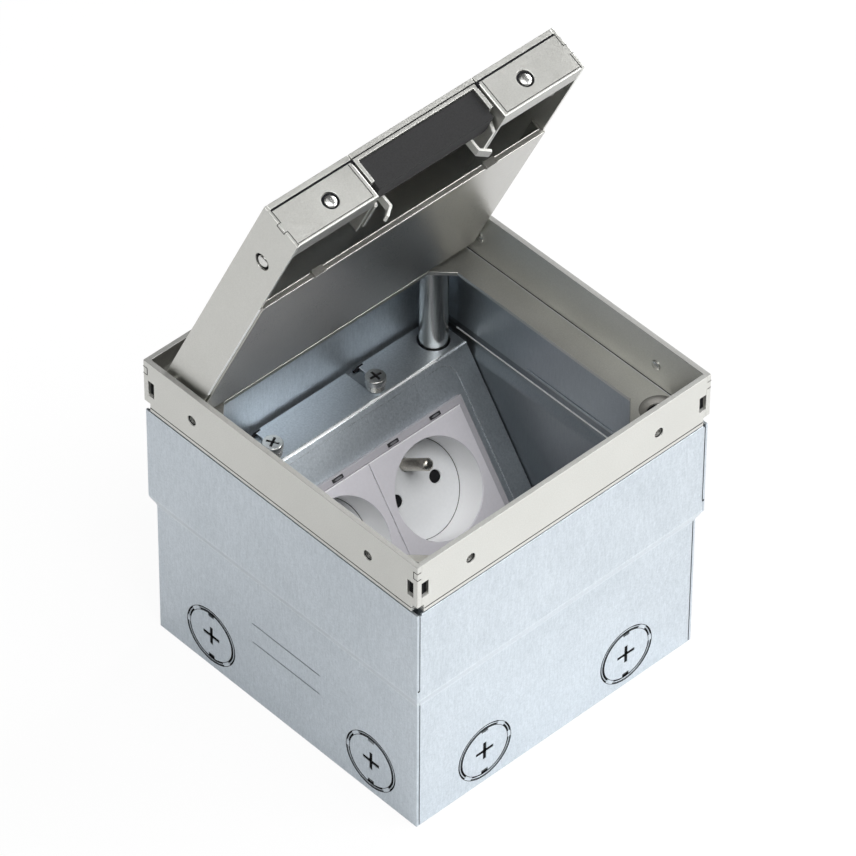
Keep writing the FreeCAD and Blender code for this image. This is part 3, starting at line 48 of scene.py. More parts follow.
class Wire:
    """One output of a node. Arithmetic on wires adds the Math nodes that it needs."""

    def __init__(self, graph, socket):
        self.graph = graph
        self.socket = socket

    def __add__(self, other):
        return self.graph.add("ShaderNodeMath", {"operation": "ADD"}, [self, other])

    def __sub__(self, other):
        return self.graph.add("ShaderNodeMath", {"operation": "SUBTRACT"}, [self, other])

    def __rsub__(self, other):
        return self.graph.add("ShaderNodeMath", {"operation": "SUBTRACT"}, [other, self])

    def __mul__(self, other):
        return self.graph.add("ShaderNodeMath", {"operation": "MULTIPLY"}, [self, other])

    __radd__ = __add__
    __rmul__ = __mul__


class Graph:
    """The nodes of one material or of one geometry tree."""

    def __init__(self, tree):
        self.tree = tree

    def add(self, kind, settings=None, inputs=None, output=0):
        """A node of a type with its settings, then its socket values or links."""
        made = self.tree.nodes.new(kind)
        for name, value in (settings or {}).items():
            if name == "stops":
                ramp = made.color_ramp
                while len(ramp.elements) < len(value):
                    ramp.elements.new(0.5)
                for element, (place, colour) in zip(ramp.elements, value):
                    element.position = place
                    element.color = (*colour, 1.0)
            else:
                setattr(made, name, value)
        pairs = inputs.items() if isinstance(inputs, dict) else enumerate(inputs or [])
        for key, value in pairs:
            if isinstance(value, Wire):
                self.tree.links.new(value.socket, made.inputs[key])
            else:
                made.inputs[key].default_value = value
        return Wire(self, made.outputs[output])

    def noise(self, scale, detail=2.0, rough=0.5):
        """Noise on the object's own coordinates, with its grains per metre, or along x, y and z."""
        scale = scale if isinstance(scale, tuple) else (scale, scale, scale)
        place = self.add("ShaderNodeTexCoord", output="Object")
        stretched = self.add("ShaderNodeMapping", inputs={"Vector": place, "Scale": scale})
        return self.add("ShaderNodeTexNoise", inputs={
            "Vector": stretched, "Scale": 1.0, "Detail": detail, "Roughness": rough})

    def tint(self, share, low, high):
        """A colour between low and high."""
        return self.add("ShaderNodeMix", {"data_type": "RGBA"}, {0: share, 6: (*low, 1), 7: (*high, 1)}, 2)


def new_finish(name, fixed=None):
    """A material with fixed values on its shader's sockets, and the graph for the rest."""
    material = bpy.data.materials.new(name)
    material.use_nodes = True
    graph = Graph(material.node_tree)
    shader = material.node_tree.nodes["Principled BSDF"]
    for socket, value in (fixed or {}).items():
        shader.inputs[socket].default_value = value

    def wire(socket, value):
        material.node_tree.links.new(value.socket, shader.inputs[socket])
    return material, graph, wire


CLOUD_SCALE = (60, 60, 45)
# Near black, towards which the bands of painted shade in sheet_metal darken a surface.
PAINTED_SHADE_BLACK = (0.012, 0.012, 0.012, 1)
METAL_RELIEF = 0.00008


def sheet_metal(name, dark, light, grain, streak, rough, metallic, bump, bands=()):
    """Rolled sheet: a fine grain drawn out along one way, over a faint cloudy mottle. Bands are stripes of
    painted shade, given as height, half width, softness and strength, such as the shade in a seam's line."""
    material, graph, wire = new_finish(name, {"Metallic": metallic})
    drawn = graph.noise(streak, 3.0, 0.6)
    fine = graph.noise(grain, 2.0, 0.6)
    cloud = graph.noise(CLOUD_SCALE)
    share = drawn * 0.4 + fine * 0.45 + cloud * 0.15
    spread = graph.add("ShaderNodeMapRange", {"clamp": True}, [share, 0.34, 0.66, 0.0, 1.0])
    colour = graph.tint(spread, dark, light)
    # Each band darkens the colour along one height of the object: painted shade.
    for middle, half, soft, strength in bands:
        place = graph.add("ShaderNodeTexCoord", output="Object")
        height = graph.add("ShaderNodeSeparateXYZ", None, [place], 2)
        off = graph.add("ShaderNodeMath", {"operation": "ABSOLUTE"}, [height - middle])
        line = graph.add("ShaderNodeMapRange", {"clamp": True}, [off, half, half + soft, 1.0, 0.0])
        colour = graph.add("ShaderNodeMix", {"data_type": "RGBA"}, {
            0: line * strength, 6: colour, 7: PAINTED_SHADE_BLACK}, 2)
    wire("Base Color", colour)
    wire("Roughness", spread * 0.12 + rough)
    wire("Normal", graph.add("ShaderNodeBump", None, {
        "Strength": bump, "Distance": METAL_RELIEF, "Height": drawn * 0.6 + fine * 0.4}))
    return material


ZINC = sheet_metal("zinc_sheet", (0.465, 0.515, 0.558), (0.645, 0.695, 0.742), 1400, (1300, 1300, 240),
                   0.37, 0.92, 0.95)


def place(name, mesh, body, slot, *replaced):
    """A finished mesh as a piece that rides on a body and stands for CAD nodes."""
    piece = bpy.data.objects.new(name, mesh)
    bpy.context.scene.collection.objects.link(piece)
    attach(piece, body)
    if replaced:
        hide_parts(*replaced)
    return piece


def applied(mesh, *modifiers):
    """The mesh after modifiers, given as (type, settings)."""
    holder = bpy.data.objects.new("holder", mesh)
    bpy.context.scene.collection.objects.link(holder)
    for kind, settings in modifiers:
        modifier = holder.modifiers.new(kind.lower(), kind)
        for key, value in settings.items():
            setattr(modifier, key, value)
    seen = holder.evaluated_get(bpy.context.evaluated_depsgraph_get())
    result = bpy.data.meshes.new_from_object(seen)
    bpy.data.objects.remove(holder)
    return result


SOFT_TURN, SHARP_TURN = math.radians(8), math.radians(28)


def eased(mesh, finish, edge_finish, radius, bends=None, bend_radius=0.0):
    """The mesh with its sharp edges rounded: radius for cut edges, bend_radius for folded ones."""
    work = bmesh.new()
    work.from_mesh(mesh)
    widest = max(radius, bend_radius)
    layers = work.edges.layers.float
    weight = layers.get("bevel_weight_edge") or layers.new("bevel_weight_edge")
    for edge in work.edges:
        edge.smooth = True
        turn = edge.calc_face_angle(0.0)
        if len(edge.link_faces) != 2 or turn < SOFT_TURN:
            continue
        narrowest = min(face.calc_area() for face in edge.link_faces)
        if bends and bends(edge):
            edge[weight] = bend_radius / widest
        elif turn >= SHARP_TURN and narrowest > 2.1 * radius * edge.calc_length():
            edge[weight] = radius / widest
    for face in work.faces:
        face.smooth = True
        face.material_index = 0
    work.to_mesh(mesh)
    work.free()
    mesh.materials.clear()
    mesh.materials.append(finish)
    mesh.materials.append(edge_finish)
    return applied(
        mesh,
        ("BEVEL", {"width": widest, "segments": 3, "limit_method": "WEIGHT", "use_clamp_overlap": False,
                   "material": 1, "loop_slide": False}),
        ("WEIGHTED_NORMAL", {"keep_sharp": False, "weight": 80}),
    )


def bare(node):
    """A CAD node's mesh with its loose triangles merged into whole faces."""
    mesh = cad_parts[node].data.copy()
    if "custom_normal" in mesh.attributes:
        mesh.attributes.remove(mesh.attributes["custom_normal"])
    work = bmesh.new()
    work.from_mesh(mesh)
    bmesh.ops.remove_doubles(work, verts=work.verts, dist=0.000002)
    bmesh.ops.dissolve_limit(work, angle_limit=math.radians(0.6), verts=work.verts, edges=work.edges)
    work.to_mesh(mesh)
    work.free()
    return mesh


def dressed(node, body, slot, finish, edge_finish, radius=0.00018, bends=None, bend_radius=0.0):
    """A CAD node of bent or cut metal with rounded edges and its own finish."""
    mesh = eased(bare(node), finish, edge_finish, radius, bends, bend_radius)
    return place(f"{node}_finished", mesh, body, slot, node)


JOGGLE_LOW, JOGGLE_HIGH = 0.060, 0.068


def joggle_crease(edge):
    """Whether an edge of a wall is one of the joggle's level folds."""
    low, high = sorted(vert.co.z for vert in edge.verts)
    return high - low < 0.0002 and JOGGLE_LOW < low < JOGGLE_HIGH and edge.calc_length() > 0.03


def outwardness(face):
    """How far a wall's face looks away from the box's middle, from -1 to 1."""
    return face.normal.dot(Vector((face.center.x, face.center.y, 0)).normalized())


# A darker copy of the zinc for the box's inside: painted shade, with a band of painted shade just above the
# joggle's crease and a deeper painted shade over everything below it.
ZINC_INSIDE_SHADED = sheet_metal("zinc_sheet_inside_painted_shade", (0.36, 0.395, 0.425), (0.47, 0.51, 0.54), 2600,
                          (1500, 1500, 210), 0.36, 0.94, 0.5,
                          ((0.0695, 0.0012, 0.0004, 0.45), (0.0300, 0.0372, 0.0003, 0.32)))
# A lighter copy of the zinc for the joggle's sloped outward faces: painted light over their shade.
JOGGLE_ZINC_LIT = sheet_metal("zinc_with_painted_light_on_the_joggle", (0.545, 0.595, 0.635), (0.705, 0.75, 0.79), 1400,
                          (1300, 1300, 240), 0.40, 0.88, 0.8)
for wall in ("left", "right", "front", "back"):
    piece = dressed(f"box_wall_{wall}", "box", "galvanised_steel", ZINC, ZINC, 0.0002, joggle_crease, 0.0009)
    # The inner faces of all but the back wall take the copy with painted shade.
    piece.data.materials[1] = ZINC if wall == "back" else ZINC_INSIDE_SHADED
    piece.data.materials.append(JOGGLE_ZINC_LIT)
    for face in piece.data.polygons:
        outwards = outwardness(face)
        on_joggle = outwards > 0.3 and face.normal.z < -0.1 and JOGGLE_LOW < face.center.z < JOGGLE_HIGH
        face.material_index = 2 if on_joggle else 1 if outwards < -0.3 else 0
dressed("box_floor", "box", "galvanised_steel", ZINC_INSIDE_SHADED, ZINC_INSIDE_SHADED)


def mottled(name, dark, light, grain, rough, rough_grain=2500, spread=0.1, detail=2.0, relief=0.0,
            fixed=None):
    """Plastic, foam, painted shade or a line of painted highlight: two near tones in a fine mottle, and an
    uneven roughness.
    """
    material, graph, wire = new_finish(name, fixed)
    wire("Base Color", graph.tint(graph.noise(grain, detail), dark, light))
    wire("Roughness", graph.noise(rough_grain) * spread + rough)
    if relief:
        wire("Normal", graph.add("ShaderNodeBump", None, {
            "Strength": relief, "Distance": 0.00004, "Height": graph.noise(4200, 3.0)}))
    return material


SHADE = mottled("shade_in_a_gap", (0.006, 0.006, 0.007), (0.016, 0.016, 0.018), 900, 0.8, 1500,
                fixed={"Specular IOR Level": 0.1})


def pattern(name, **sizes):
    """A Geometry Nodes graph whose inputs are its named sizes, and the wires of those inputs."""
    tree = bpy.data.node_groups.new(name, "GeometryNodeTree")
    tree.interface.new_socket("Geometry", in_out="INPUT", socket_type="NodeSocketGeometry")
    tree.interface.new_socket("Geometry", in_out="OUTPUT", socket_type="NodeSocketGeometry")
    for size, value in sizes.items():
        tree.interface.new_socket(size, in_out="INPUT", socket_type="NodeSocketFloat").default_value = value
    graph = Graph(tree)
    entry = tree.nodes.new("NodeGroupInput")
    return graph, {item.name: Wire(graph, item) for item in entry.outputs if item.name}


def settled(name, graph, shape, finish, holder_mesh):
    """The plain mesh that a pattern makes on a holder mesh."""
    real = graph.add("GeometryNodeRealizeInstances", None, [shape])
    last = graph.add("GeometryNodeSetMaterial", None, {"Geometry": real, "Material": finish})
    leave = graph.tree.nodes.new("NodeGroupOutput")
    graph.tree.links.new(last.socket, leave.inputs[0])
    holder = bpy.data.objects.new(name, holder_mesh)
    bpy.context.scene.collection.objects.link(holder)
    holder.modifiers.new("pattern", "NODES").node_group = graph.tree
    seen = holder.evaluated_get(bpy.context.evaluated_depsgraph_get())
    mesh = bpy.data.meshes.new_from_object(seen)
    bpy.data.objects.remove(holder)
    return mesh


def traced(name, body, slot, finish, radius, runs):
    """Thin lines along runs of points in mm, such as the dark gap of a seam."""
    graph, size = pattern(name, radius=radius)
    path = graph.add("GeometryNodeMeshToCurve", None, {"Mesh": size["Geometry"]})
    ring = graph.add("GeometryNodeCurvePrimitiveCircle", None, {"Resolution": 6, "Radius": size["radius"]})
    line = graph.add("GeometryNodeCurveToMesh", None, {
        "Curve": path, "Profile Curve": ring, "Fill Caps": True})
    points, links = [], []
    for run in runs:
        links += [(len(points) + step, len(points) + step + 1) for step in range(len(run) - 1)]
        points += [Vector(point) / 1000 for point in run]
    holder_mesh = bpy.data.meshes.new(name)
    holder_mesh.from_pydata(points, links, [])
    return place(name, settled(name, graph, line, finish, holder_mesh), body, slot)


CORNERS = [(side, front) for side in (-1, 1) for front in (-1, 1)]
seams = []
for side, front in CORNERS:
    seams.append([(side * 66.3, front * 67.56, 0.6), (side * 66.3, front * 67.56, 61.2)])
    seams.append([(side * 68.4, front * 69.66, 71.6), (side * 68.4, front * 69.66, 107.6)])
traced("box_corner_seams", "box", "galvanised_steel", SHADE, 0.00017, seams)
traced("box_corner_reliefs", "box", "galvanised_steel", SHADE, 0.0004, [
    [(side * 69.2, front * 69.45, 71.5), (side * 68.9, front * 69.5, 71.1), (side * 68.4, front * 69.5, 71.3)]
    for side, front in CORNERS])

# Near white, for thin beads laid along bends and seams: painted highlights.
HIGHLIGHT_LINE = mottled("painted_highlight_line", (0.86, 0.88, 0.89), (0.95, 0.96, 0.965), 300, 0.35, 1500,
                    fixed={"Metallic": 0.12})
CREASE_SIDE, CREASE_FRONT = 68.6, -66.5
# A bead of painted highlight along each joggle crease inside the side walls, and a bead of plain zinc higher
# up.
for name, finish, radius, back, height in (
        ("box_wall_crease_highlights", HIGHLIGHT_LINE, 0.00032, 57.0, 67.7),
        ("box_wall_crease_rims", ZINC, 0.0003, 20.0, 72.4)):
    traced(name, "box", "galvanised_steel", finish, radius, [
        [(side * CREASE_SIDE, back, height), (side * CREASE_SIDE, CREASE_FRONT, height)] for side in (-1, 1)])


def cut_away(graph, body, *tools):
    """A body less its tools, which are blocks or prisms."""
    less = graph.add("GeometryNodeMeshBoolean", {"operation": "DIFFERENCE"}, {0: body})
    for tool in tools:
        graph.tree.links.new(tool.socket, less.socket.node.inputs[1])
    return less


def raised(graph, shape, height):
    """A shape moved up along z."""
    spot = graph.add("ShaderNodeCombineXYZ", None, [0.0, 0.0, height])
    return graph.add("GeometryNodeTransform", None, {"Geometry": shape, "Translation": spot})


def joined(graph, *shapes):
    """Several shapes as one."""
    made = graph.add("GeometryNodeJoinGeometry")
    for shape in shapes:
        graph.tree.links.new(shape.socket, made.socket.node.inputs[0])
    return made


def crossed_bars(graph, length, width, depth):
    """The two arms of a cross."""
    sizes = [graph.add("ShaderNodeCombineXYZ", None, [*arm, depth])
             for arm in ((length, width), (width, length))]
    return [graph.add("GeometryNodeMeshCube", None, {"Size": size}) for size in sizes]


def hoop(graph, radius, thickness):
    """A thin round wire bent to a ring."""
    circle = graph.add("GeometryNodeCurvePrimitiveCircle", None, {"Resolution": 64, "Radius": radius})
    section = graph.add("GeometryNodeCurvePrimitiveCircle", None, {"Resolution": 6, "Radius": thickness})
    return graph.add("GeometryNodeCurveToMesh", None, {"Curve": circle, "Profile Curve": section})


def flat_ring(graph, size, around):
    """A disc of the outer radius less a hole of the inner one."""
    disc, hole = (graph.add("GeometryNodeMeshCylinder", None, {
        "Vertices": around, "Radius": radius, "Depth": depth}) for radius, depth in (
            (size["outer"], size["depth"]), (size["inner"], size["depth"] * 3)))
    return cut_away(graph, disc, hole)


def repeated(name, graph, size, shape, finish, spots):
    """A mesh of a shape's copies at spots, which are matrices."""
    turn = graph.add("GeometryNodeInputNamedAttribute", {"data_type": "FLOAT_VECTOR"}, {0: "turn"})
    points = graph.add("GeometryNodeInstanceOnPoints", None, {
        "Points": size["Geometry"], "Instance": shape, "Rotation": turn})
    holder_mesh = bpy.data.meshes.new(name)
    holder_mesh.from_pydata([spot.translation for spot in spots], [], [])
    turns = holder_mesh.attributes.new("turn", "FLOAT_VECTOR", "POINT")
    for item, spot in zip(turns.data, spots):
        item.vector = spot.to_euler()
    return settled(name, graph, points, finish, holder_mesh)


def facing(spot, way, spin=0.0):
    """A place whose z axis points along way."""
    turn = Vector(way).to_track_quat("Z", "Y").to_matrix().to_4x4()
    return Matrix.Translation(spot) @ turn @ Matrix.Rotation(spin, 4, "Z")


KNOCKOUT_FACE, KNOCKOUT_HEIGHT = 0.06716, 0.0154
KNOCKOUT_ALONG_SIDES, SIDE_SHIFT, KNOCKOUT_ALONG_FRONTS = 0.0419, 0.002, 0.0347
knockout, size = pattern("knockout_gap", outer=0.01262, inner=0.01098, depth=0.0003, arm=0.0083,
                         arm_width=0.0016, rim=0.00012, rim_height=0.00042)
bars = crossed_bars(knockout, size["arm"], size["arm_width"], size["depth"])
rims = [raised(knockout, hoop(knockout, size[radius], size["rim"]), size["rim_height"])
        for radius in ("outer", "inner")]
knockout_shape = joined(knockout, flat_ring(knockout, size, 64), *bars, *rims)
spots = []
for way, along in CORNERS:
    side_spot = (way * KNOCKOUT_FACE, along * KNOCKOUT_ALONG_SIDES - SIDE_SHIFT, KNOCKOUT_HEIGHT)
    front_spot = (along * KNOCKOUT_ALONG_FRONTS, way * KNOCKOUT_FACE, KNOCKOUT_HEIGHT)
    spots += [facing(side_spot, (way, 0, 0)), facing(front_spot, (0, way, 0))]
gap_mesh = repeated("knockout_gaps", knockout, size, knockout_shape, SHADE, spots)
place("knockout_gaps", gap_mesh, "box", "galvanised_steel")
glint, size = pattern("knockout_glint", middle=0.0119, thickness=0.00022)
glint_ring = hoop(glint, size["middle"], size["thickness"])
GLINT_HEIGHT = 0.00018
glint_mesh = repeated("knockout_gap_glints", glint, size, glint_ring, ZINC, [
    spot @ Matrix.Translation((0, 0, GLINT_HEIGHT)) for spot in spots])
place("knockout_gap_glints", glint_mesh, "box", "galvanised_steel")


# The earth stud: a zinc plated stud pressed into the box's floor, with a hexagon nut that clamps
# the earth wire's lug.

BRIGHT_ZINC = sheet_metal("bright_zinc_plating", (0.56, 0.58, 0.60), (0.72, 0.74, 0.75), 3000,
                          (1800, 1800, 900), 0.22, 0.95, 0.25)
for node in ("earth_stud", "earth_nut"):
    dressed(node, "box", "zinc_plated_fasteners", BRIGHT_ZINC, BRIGHT_ZINC, 0.00015)


# The socket carrier: one galvanised sheet bent into a shelf, a slope with a pressed panel, and a
# foot. It lies on two angle brackets, and a cheese-head screw in each clamps the shelf down.

def along_x(edge):
    """Whether an edge is long and runs from side to side."""
    return abs((edge.verts[0].co - edge.verts[1].co).normalized().x) > 0.99 and edge.calc_length() > 0.05


# A near-white, glossy copy of the zinc for the rounded faces of the carrier plate's bend and edges: painted
# highlight.
ZINC_BEND_HIGHLIGHT = sheet_metal("bend_painted_highlight", (0.80, 0.84, 0.87), (0.93, 0.95, 0.97), 2600, (300, 1500, 1500),
                        0.22, 0.85, 0.1)
carrier_low, carrier_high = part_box("carrier_plate")


def carrier_bend(edge):
    """Whether an edge is on the bend between the shelf and the slope."""
    middle = (edge.verts[0].co + edge.verts[1].co) / 2
    return along_x(edge) and middle.y < carrier_high[1] - 0.005 and middle.z > carrier_high[2] - 0.0003


dressed("carrier_plate", "box", "galvanised_steel", ZINC, ZINC_BEND_HIGHLIGHT, 0.00012, carrier_bend, 0.0008)
dressed("carrier_brackets", "box", "galvanised_steel", ZINC_INSIDE_SHADED, ZINC_INSIDE_SHADED)

# A bead of painted highlight along the shelf's bend.
traced("carrier_bend_glint", "box", "galvanised_steel", HIGHLIGHT_LINE, 0.00042, [
    [(carrier_low[0] * 1000 + 1.5, 49.45, 67.2), (carrier_high[0] * 1000 - 15.0, 49.45, 67.2)]])


def turned(graph, radius, height, outline, around=40, rows=14):
    """A turned part that stands on the origin along z. Its outline is pairs of a share of the
    height and a share of the radius."""
    body = graph.add("GeometryNodeMeshCylinder", None, {
        "Vertices": around, "Side Segments": rows, "Fill Segments": 1, "Radius": radius, "Depth": height})
    spot = graph.add("GeometryNodeInputPosition")
    parts = graph.add("ShaderNodeSeparateXYZ", None, [spot])
    x, y, z = (Wire(graph, parts.socket.node.outputs[index]) for index in range(3))
    share = graph.add("ShaderNodeMath", {"operation": "DIVIDE"}, [z, height]) + 0.5
    scale = graph.add("ShaderNodeFloatCurve", None, {1: share})
    curve = scale.socket.node.mapping.curves[0]
    while len(curve.points) < len(outline):
        curve.points.new(0.5, 0.5)
    for point, (place, width) in zip(curve.points, outline):
        point.location = (place, width)
        point.handle_type = "VECTOR"
    scale.socket.node.mapping.update()
    shaped = graph.add("ShaderNodeCombineXYZ", None, [x * scale, y * scale, z + height * 0.5])
    return graph.add("GeometryNodeSetPosition", None, {"Geometry": body, "Position": shaped})


def solids_of(node):
    """The middle of each separate solid in a CAD node, and its size along x, y and z."""
    work = bmesh.new()
    work.from_mesh(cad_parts[node].data)
    bmesh.ops.remove_doubles(work, verts=work.verts, dist=0.000002)
    left = set(work.verts)
    found = []
    while left:
        group = {left.pop()}
        edge_of = list(group)
        while edge_of:
            vert = edge_of.pop()
            for edge in vert.link_edges:
                other = edge.other_vert(vert)
                if other in left:
                    left.discard(other)
                    group.add(other)
                    edge_of.append(other)
        low = Vector([min(vert.co[axis] for vert in group) for axis in range(3)])
        high = Vector([max(vert.co[axis] for vert in group) for axis in range(3)])
        found.append(((low + high) / 2, high - low))
    work.free()
    return sorted(found, key=lambda item: tuple(item[0]))


def smoothed(mesh, angle):
    """The mesh shaded smooth, but for the edges sharper than an angle."""
    work = bmesh.new()
    work.from_mesh(mesh)
    bmesh.ops.remove_doubles(work, verts=work.verts, dist=0.000001)
    for edge in work.edges:
        edge.smooth = edge.calc_face_angle(0.0) < math.radians(angle)
    for face in work.faces:
        face.smooth = True
    work.to_mesh(mesh)
    work.free()
    return mesh


POLISHED, polished_graph, polished_wire = new_finish(
    "polished_small_parts", {"Metallic": 0.97, "Roughness": 0.27})
polished_wire("Base Color", polished_graph.tint(
    polished_graph.noise(700), (0.62, 0.62, 0.60), (0.74, 0.74, 0.72)))
screw, size = pattern("clamping_screw", shank=0.0036, shank_length=0.0140, head=0.0040, head_height=0.0028,
                      cross=0.0050, cross_width=0.001, cross_depth=0.0012)
STEPS, COLLAR_STEP = 28, 22
thread = [(step / STEPS, 0.69 if step % 2 else 0.61) for step in range(COLLAR_STEP)]
thread += [(step / STEPS, 1.0 if step % 2 else 0.9) for step in range(COLLAR_STEP, STEPS + 1)]
shank = turned(screw, size["shank"], size["shank_length"], thread, 32, STEPS)
head = turned(screw, size["head"], size["head_height"], (
    (0, 0.95), (0.1, 1), (0.78, 1), (0.92, 0.96), (1, 0.9)), 48, 16)
bars = [raised(screw, bar, size["head_height"])
        for bar in crossed_bars(screw, size["cross"], size["cross_width"], size["cross_depth"] * 2)]
screw_shape = joined(screw, shank, raised(screw, cut_away(screw, head, *bars), size["shank_length"]))
spots = [facing(middle - Vector((0, 0, span.z / 2)), (0, 0, 1), 0.5 + number)
         for number, (middle, span) in enumerate(solids_of("carrier_screws"))]
screw_mesh = smoothed(repeated("carrier_screws_turned", screw, size, screw_shape, POLISHED, spots), 38)
place("carrier_screws_turned", screw_mesh, "box", "zinc_plated_fasteners", "carrier_screws")
recess, size = pattern("cross_recess", cross=0.00495, cross_width=0.00095, depth=0.0006)
bars = crossed_bars(recess, size["cross"], size["cross_width"], size["depth"])
RECESS_FLOOR = 0.0160
recess_mesh = repeated("carrier_screw_recesses", recess, size, joined(recess, *bars), SHADE, [
    spot @ Matrix.Translation((0, 0, RECESS_FLOOR)) for spot in spots])
place("carrier_screw_recesses", recess_mesh, "box", "zinc_plated_fasteners")

NOTCH = ((0.3, 66.1, 66.55), (2.4, 66.1, 66.55), (2.6, 66.5, 66.55), (5.2, 66.5, 66.55))
traced("shelf_notch_gaps", "box", "galvanised_steel", SHADE, 0.00062, [
    [(middle.x * 1000 + x, y, z) for x, y, z in NOTCH] for middle, _ in solids_of("carrier_screws")])


# The socket modules: two covers of pearl grey plastic with round wells, snapped side by side into
# a support frame of the same plastic, which black clips hold on the slope.

PEARL = mottled("pearl_grey_plastic", (0.66, 0.645, 0.685), (0.72, 0.70, 0.745), 900, 0.34, relief=0.12,
                fixed={"Metallic": 0.12, "Coat Roughness": 0.35})
# Lighter copies of the pearl plastic for the wells' floors and walls: painted light down in the wells.
LIT_WELL_FLOOR = mottled("well_floor_painted_light", (0.62, 0.63, 0.64), (0.68, 0.69, 0.70), 900, 0.38,
                     fixed={"Coat Roughness": 0.35})
LIT_WELL_WALL = mottled("well_wall_painted_light", (0.92, 0.92, 0.93), (0.97, 0.97, 0.98), 900, 0.38,
                    fixed={"Coat Roughness": 0.35})
SLOPE = Matrix.Translation((0, 0.0495, 0.0673)) @ Matrix.Rotation(math.radians(54), 4, "X")
MODULES = (-16.4, 28.6)
MODULE_MIDDLE = -40.3
WELL_RADIUS = 18.95


def on_slope(x, up, out):
    """The place in mm of a point given by x, its way up the slope and its height over it."""
    return tuple(1000 * (SLOPE @ (Vector((x, up, out)) / 1000)))


for node, middle in zip(("socket_cover_1", "socket_cover_2"), MODULES):
    piece = dressed(node, "box", "socket_plastic", PEARL, PEARL, 0.0003)
    piece.data.materials.append(LIT_WELL_FLOOR)
    piece.data.materials.append(LIT_WELL_WALL)
    # Each well's floor and wall faces take the copies with painted light.
    for face in piece.data.polygons:
        spot = 1000 * (SLOPE.inverted() @ face.center)
        tilt = abs((SLOPE.to_3x3().inverted() @ face.normal).z)
        if math.hypot(spot.x - middle, spot.y - MODULE_MIDDLE) < WELL_RADIUS + 0.65 and spot.z < 1.9:
            face.material_index = 2 if tilt > 0.7 else 3
PEARL_DARK = mottled("shaded_pearl_plastic", (0.40, 0.39, 0.42), (0.46, 0.45, 0.48), 900, 0.4,
                     fixed={"Metallic": 0.12})
dressed("module_support_frame", "box", "socket_plastic", PEARL_DARK, PEARL_DARK, 0.0003)
# Near-black discs down in the contact holes: painted shade in the holes.
hole_shade, size = pattern("contact_hole_shade", radius=0.00246, thickness=0.0012)
hole_shade_outline = ((0, 1), (0.6, 1), (0.9, 0.95), (1, 0.85))
hole_shade_shape = turned(hole_shade, size["radius"], size["thickness"], hole_shade_outline, 32, 8)
CONTACT_ALONG, HOLE_SHADE_DEPTH = 9.5, 0.0134
hole_shade_spots = [
    SLOPE @ Matrix.Translation(((middle + contact) / 1000, MODULE_MIDDLE / 1000, -HOLE_SHADE_DEPTH))
    for middle in MODULES for contact in (-CONTACT_ALONG, CONTACT_ALONG)]
hole_shade_mesh = smoothed(repeated("contact_hole_shades", hole_shade, size, hole_shade_shape, SHADE, hole_shade_spots), 50)
place("contact_hole_shades", hole_shade_mesh, "box", "clip_plastic")
turns = [2 * math.pi * step / 72 for step in range(73)]
traced("well_floor_seams", "box", "socket_plastic", SHADE, 0.00013, [
    [on_slope(middle + WELL_RADIUS * math.cos(turn), MODULE_MIDDLE + WELL_RADIUS * math.sin(turn), -11.95)
     for turn in turns] for middle in MODULES])
# A near-white bead along the covers' top edge: painted highlight.
COVER_EDGE_HIGHLIGHT = mottled("plastic_edge_painted_highlight", (0.86, 0.85, 0.87), (0.93, 0.92, 0.94), 900, 0.3)
traced("cover_top_edge_highlight", "box", "socket_plastic", COVER_EDGE_HIGHLIGHT, 0.00022, [
    [on_slope(x, -17.9, 2.9) for x in (-38.7, 50.9)]])

BLACK_PLASTIC = mottled("black_clip_plastic", (0.010, 0.010, 0.011), (0.022, 0.022, 0.024), 1500, 0.4,
                        2600, 0.2)
dressed("support_frame_clips", "box", "clip_plastic", BLACK_PLASTIC, BLACK_PLASTIC, 0.00012)

BASE_PLASTIC = mottled("grey_base_plastic", (0.13, 0.13, 0.14), (0.18, 0.18, 0.19), 1200, 0.45, 2600, 0.2)
# A grey hexagon just over each black clip's top face: painted sheen on the clip.
clip_sheen, size = pattern("clip_top_sheen", length=0.0019, width=0.00042, height=0.00016)
clip_sheen_body = clip_sheen.add("GeometryNodeMeshCylinder", None, {"Vertices": 6, "Radius": 1.0, "Depth": 1.0})
clip_sheen_size = clip_sheen.add("ShaderNodeCombineXYZ", None, [size["length"], size["width"], size["height"]])
clip_sheen_shape = clip_sheen.add("GeometryNodeTransform", None, {"Geometry": clip_sheen_body, "Scale": clip_sheen_size})
slope_turn = SLOPE.to_3x3().to_4x4()
CLIP_SHEEN_HEIGHT = 0.00036
clip_sheen_spots = [Matrix.Translation(middle) @ slope_turn @ Matrix.Translation((0, 0, CLIP_SHEEN_HEIGHT))
             for middle, _ in solids_of("support_frame_clips")]
clip_sheen_mesh = repeated("support_frame_clip_sheens", clip_sheen, size, clip_sheen_shape, BASE_PLASTIC, clip_sheen_spots)
place("support_frame_clip_sheens", clip_sheen_mesh, "box", "socket_plastic")
for node in ("socket_base_1", "socket_base_2"):
    dressed(node, "box", "base_plastic", BASE_PLASTIC, BASE_PLASTIC, 0.0003)

NICKEL = sheet_metal("nickel_plating", (0.50, 0.47, 0.42), (0.66, 0.63, 0.57), 3000, 900, 0.18, 1.0, 0.12)
dressed("earth_pins", "box", "nickel_brass", NICKEL, NICKEL, 0.0006)
BRASS = sheet_metal("drawn_brass", (0.62, 0.44, 0.17), (0.80, 0.60, 0.28), 3000, 1500, 0.25, 1.0, 0.2)
dressed("line_contacts", "box", "brass", BRASS, BRASS, 0.0001)
dressed("terminal_screws", "box", "zinc_plated_fasteners", BRIGHT_ZINC, BRIGHT_ZINC, 0.00015)


# The top frame: four satin stainless walls with tongued corners, welded to a flange sheet that
# stands on the levelling posts.

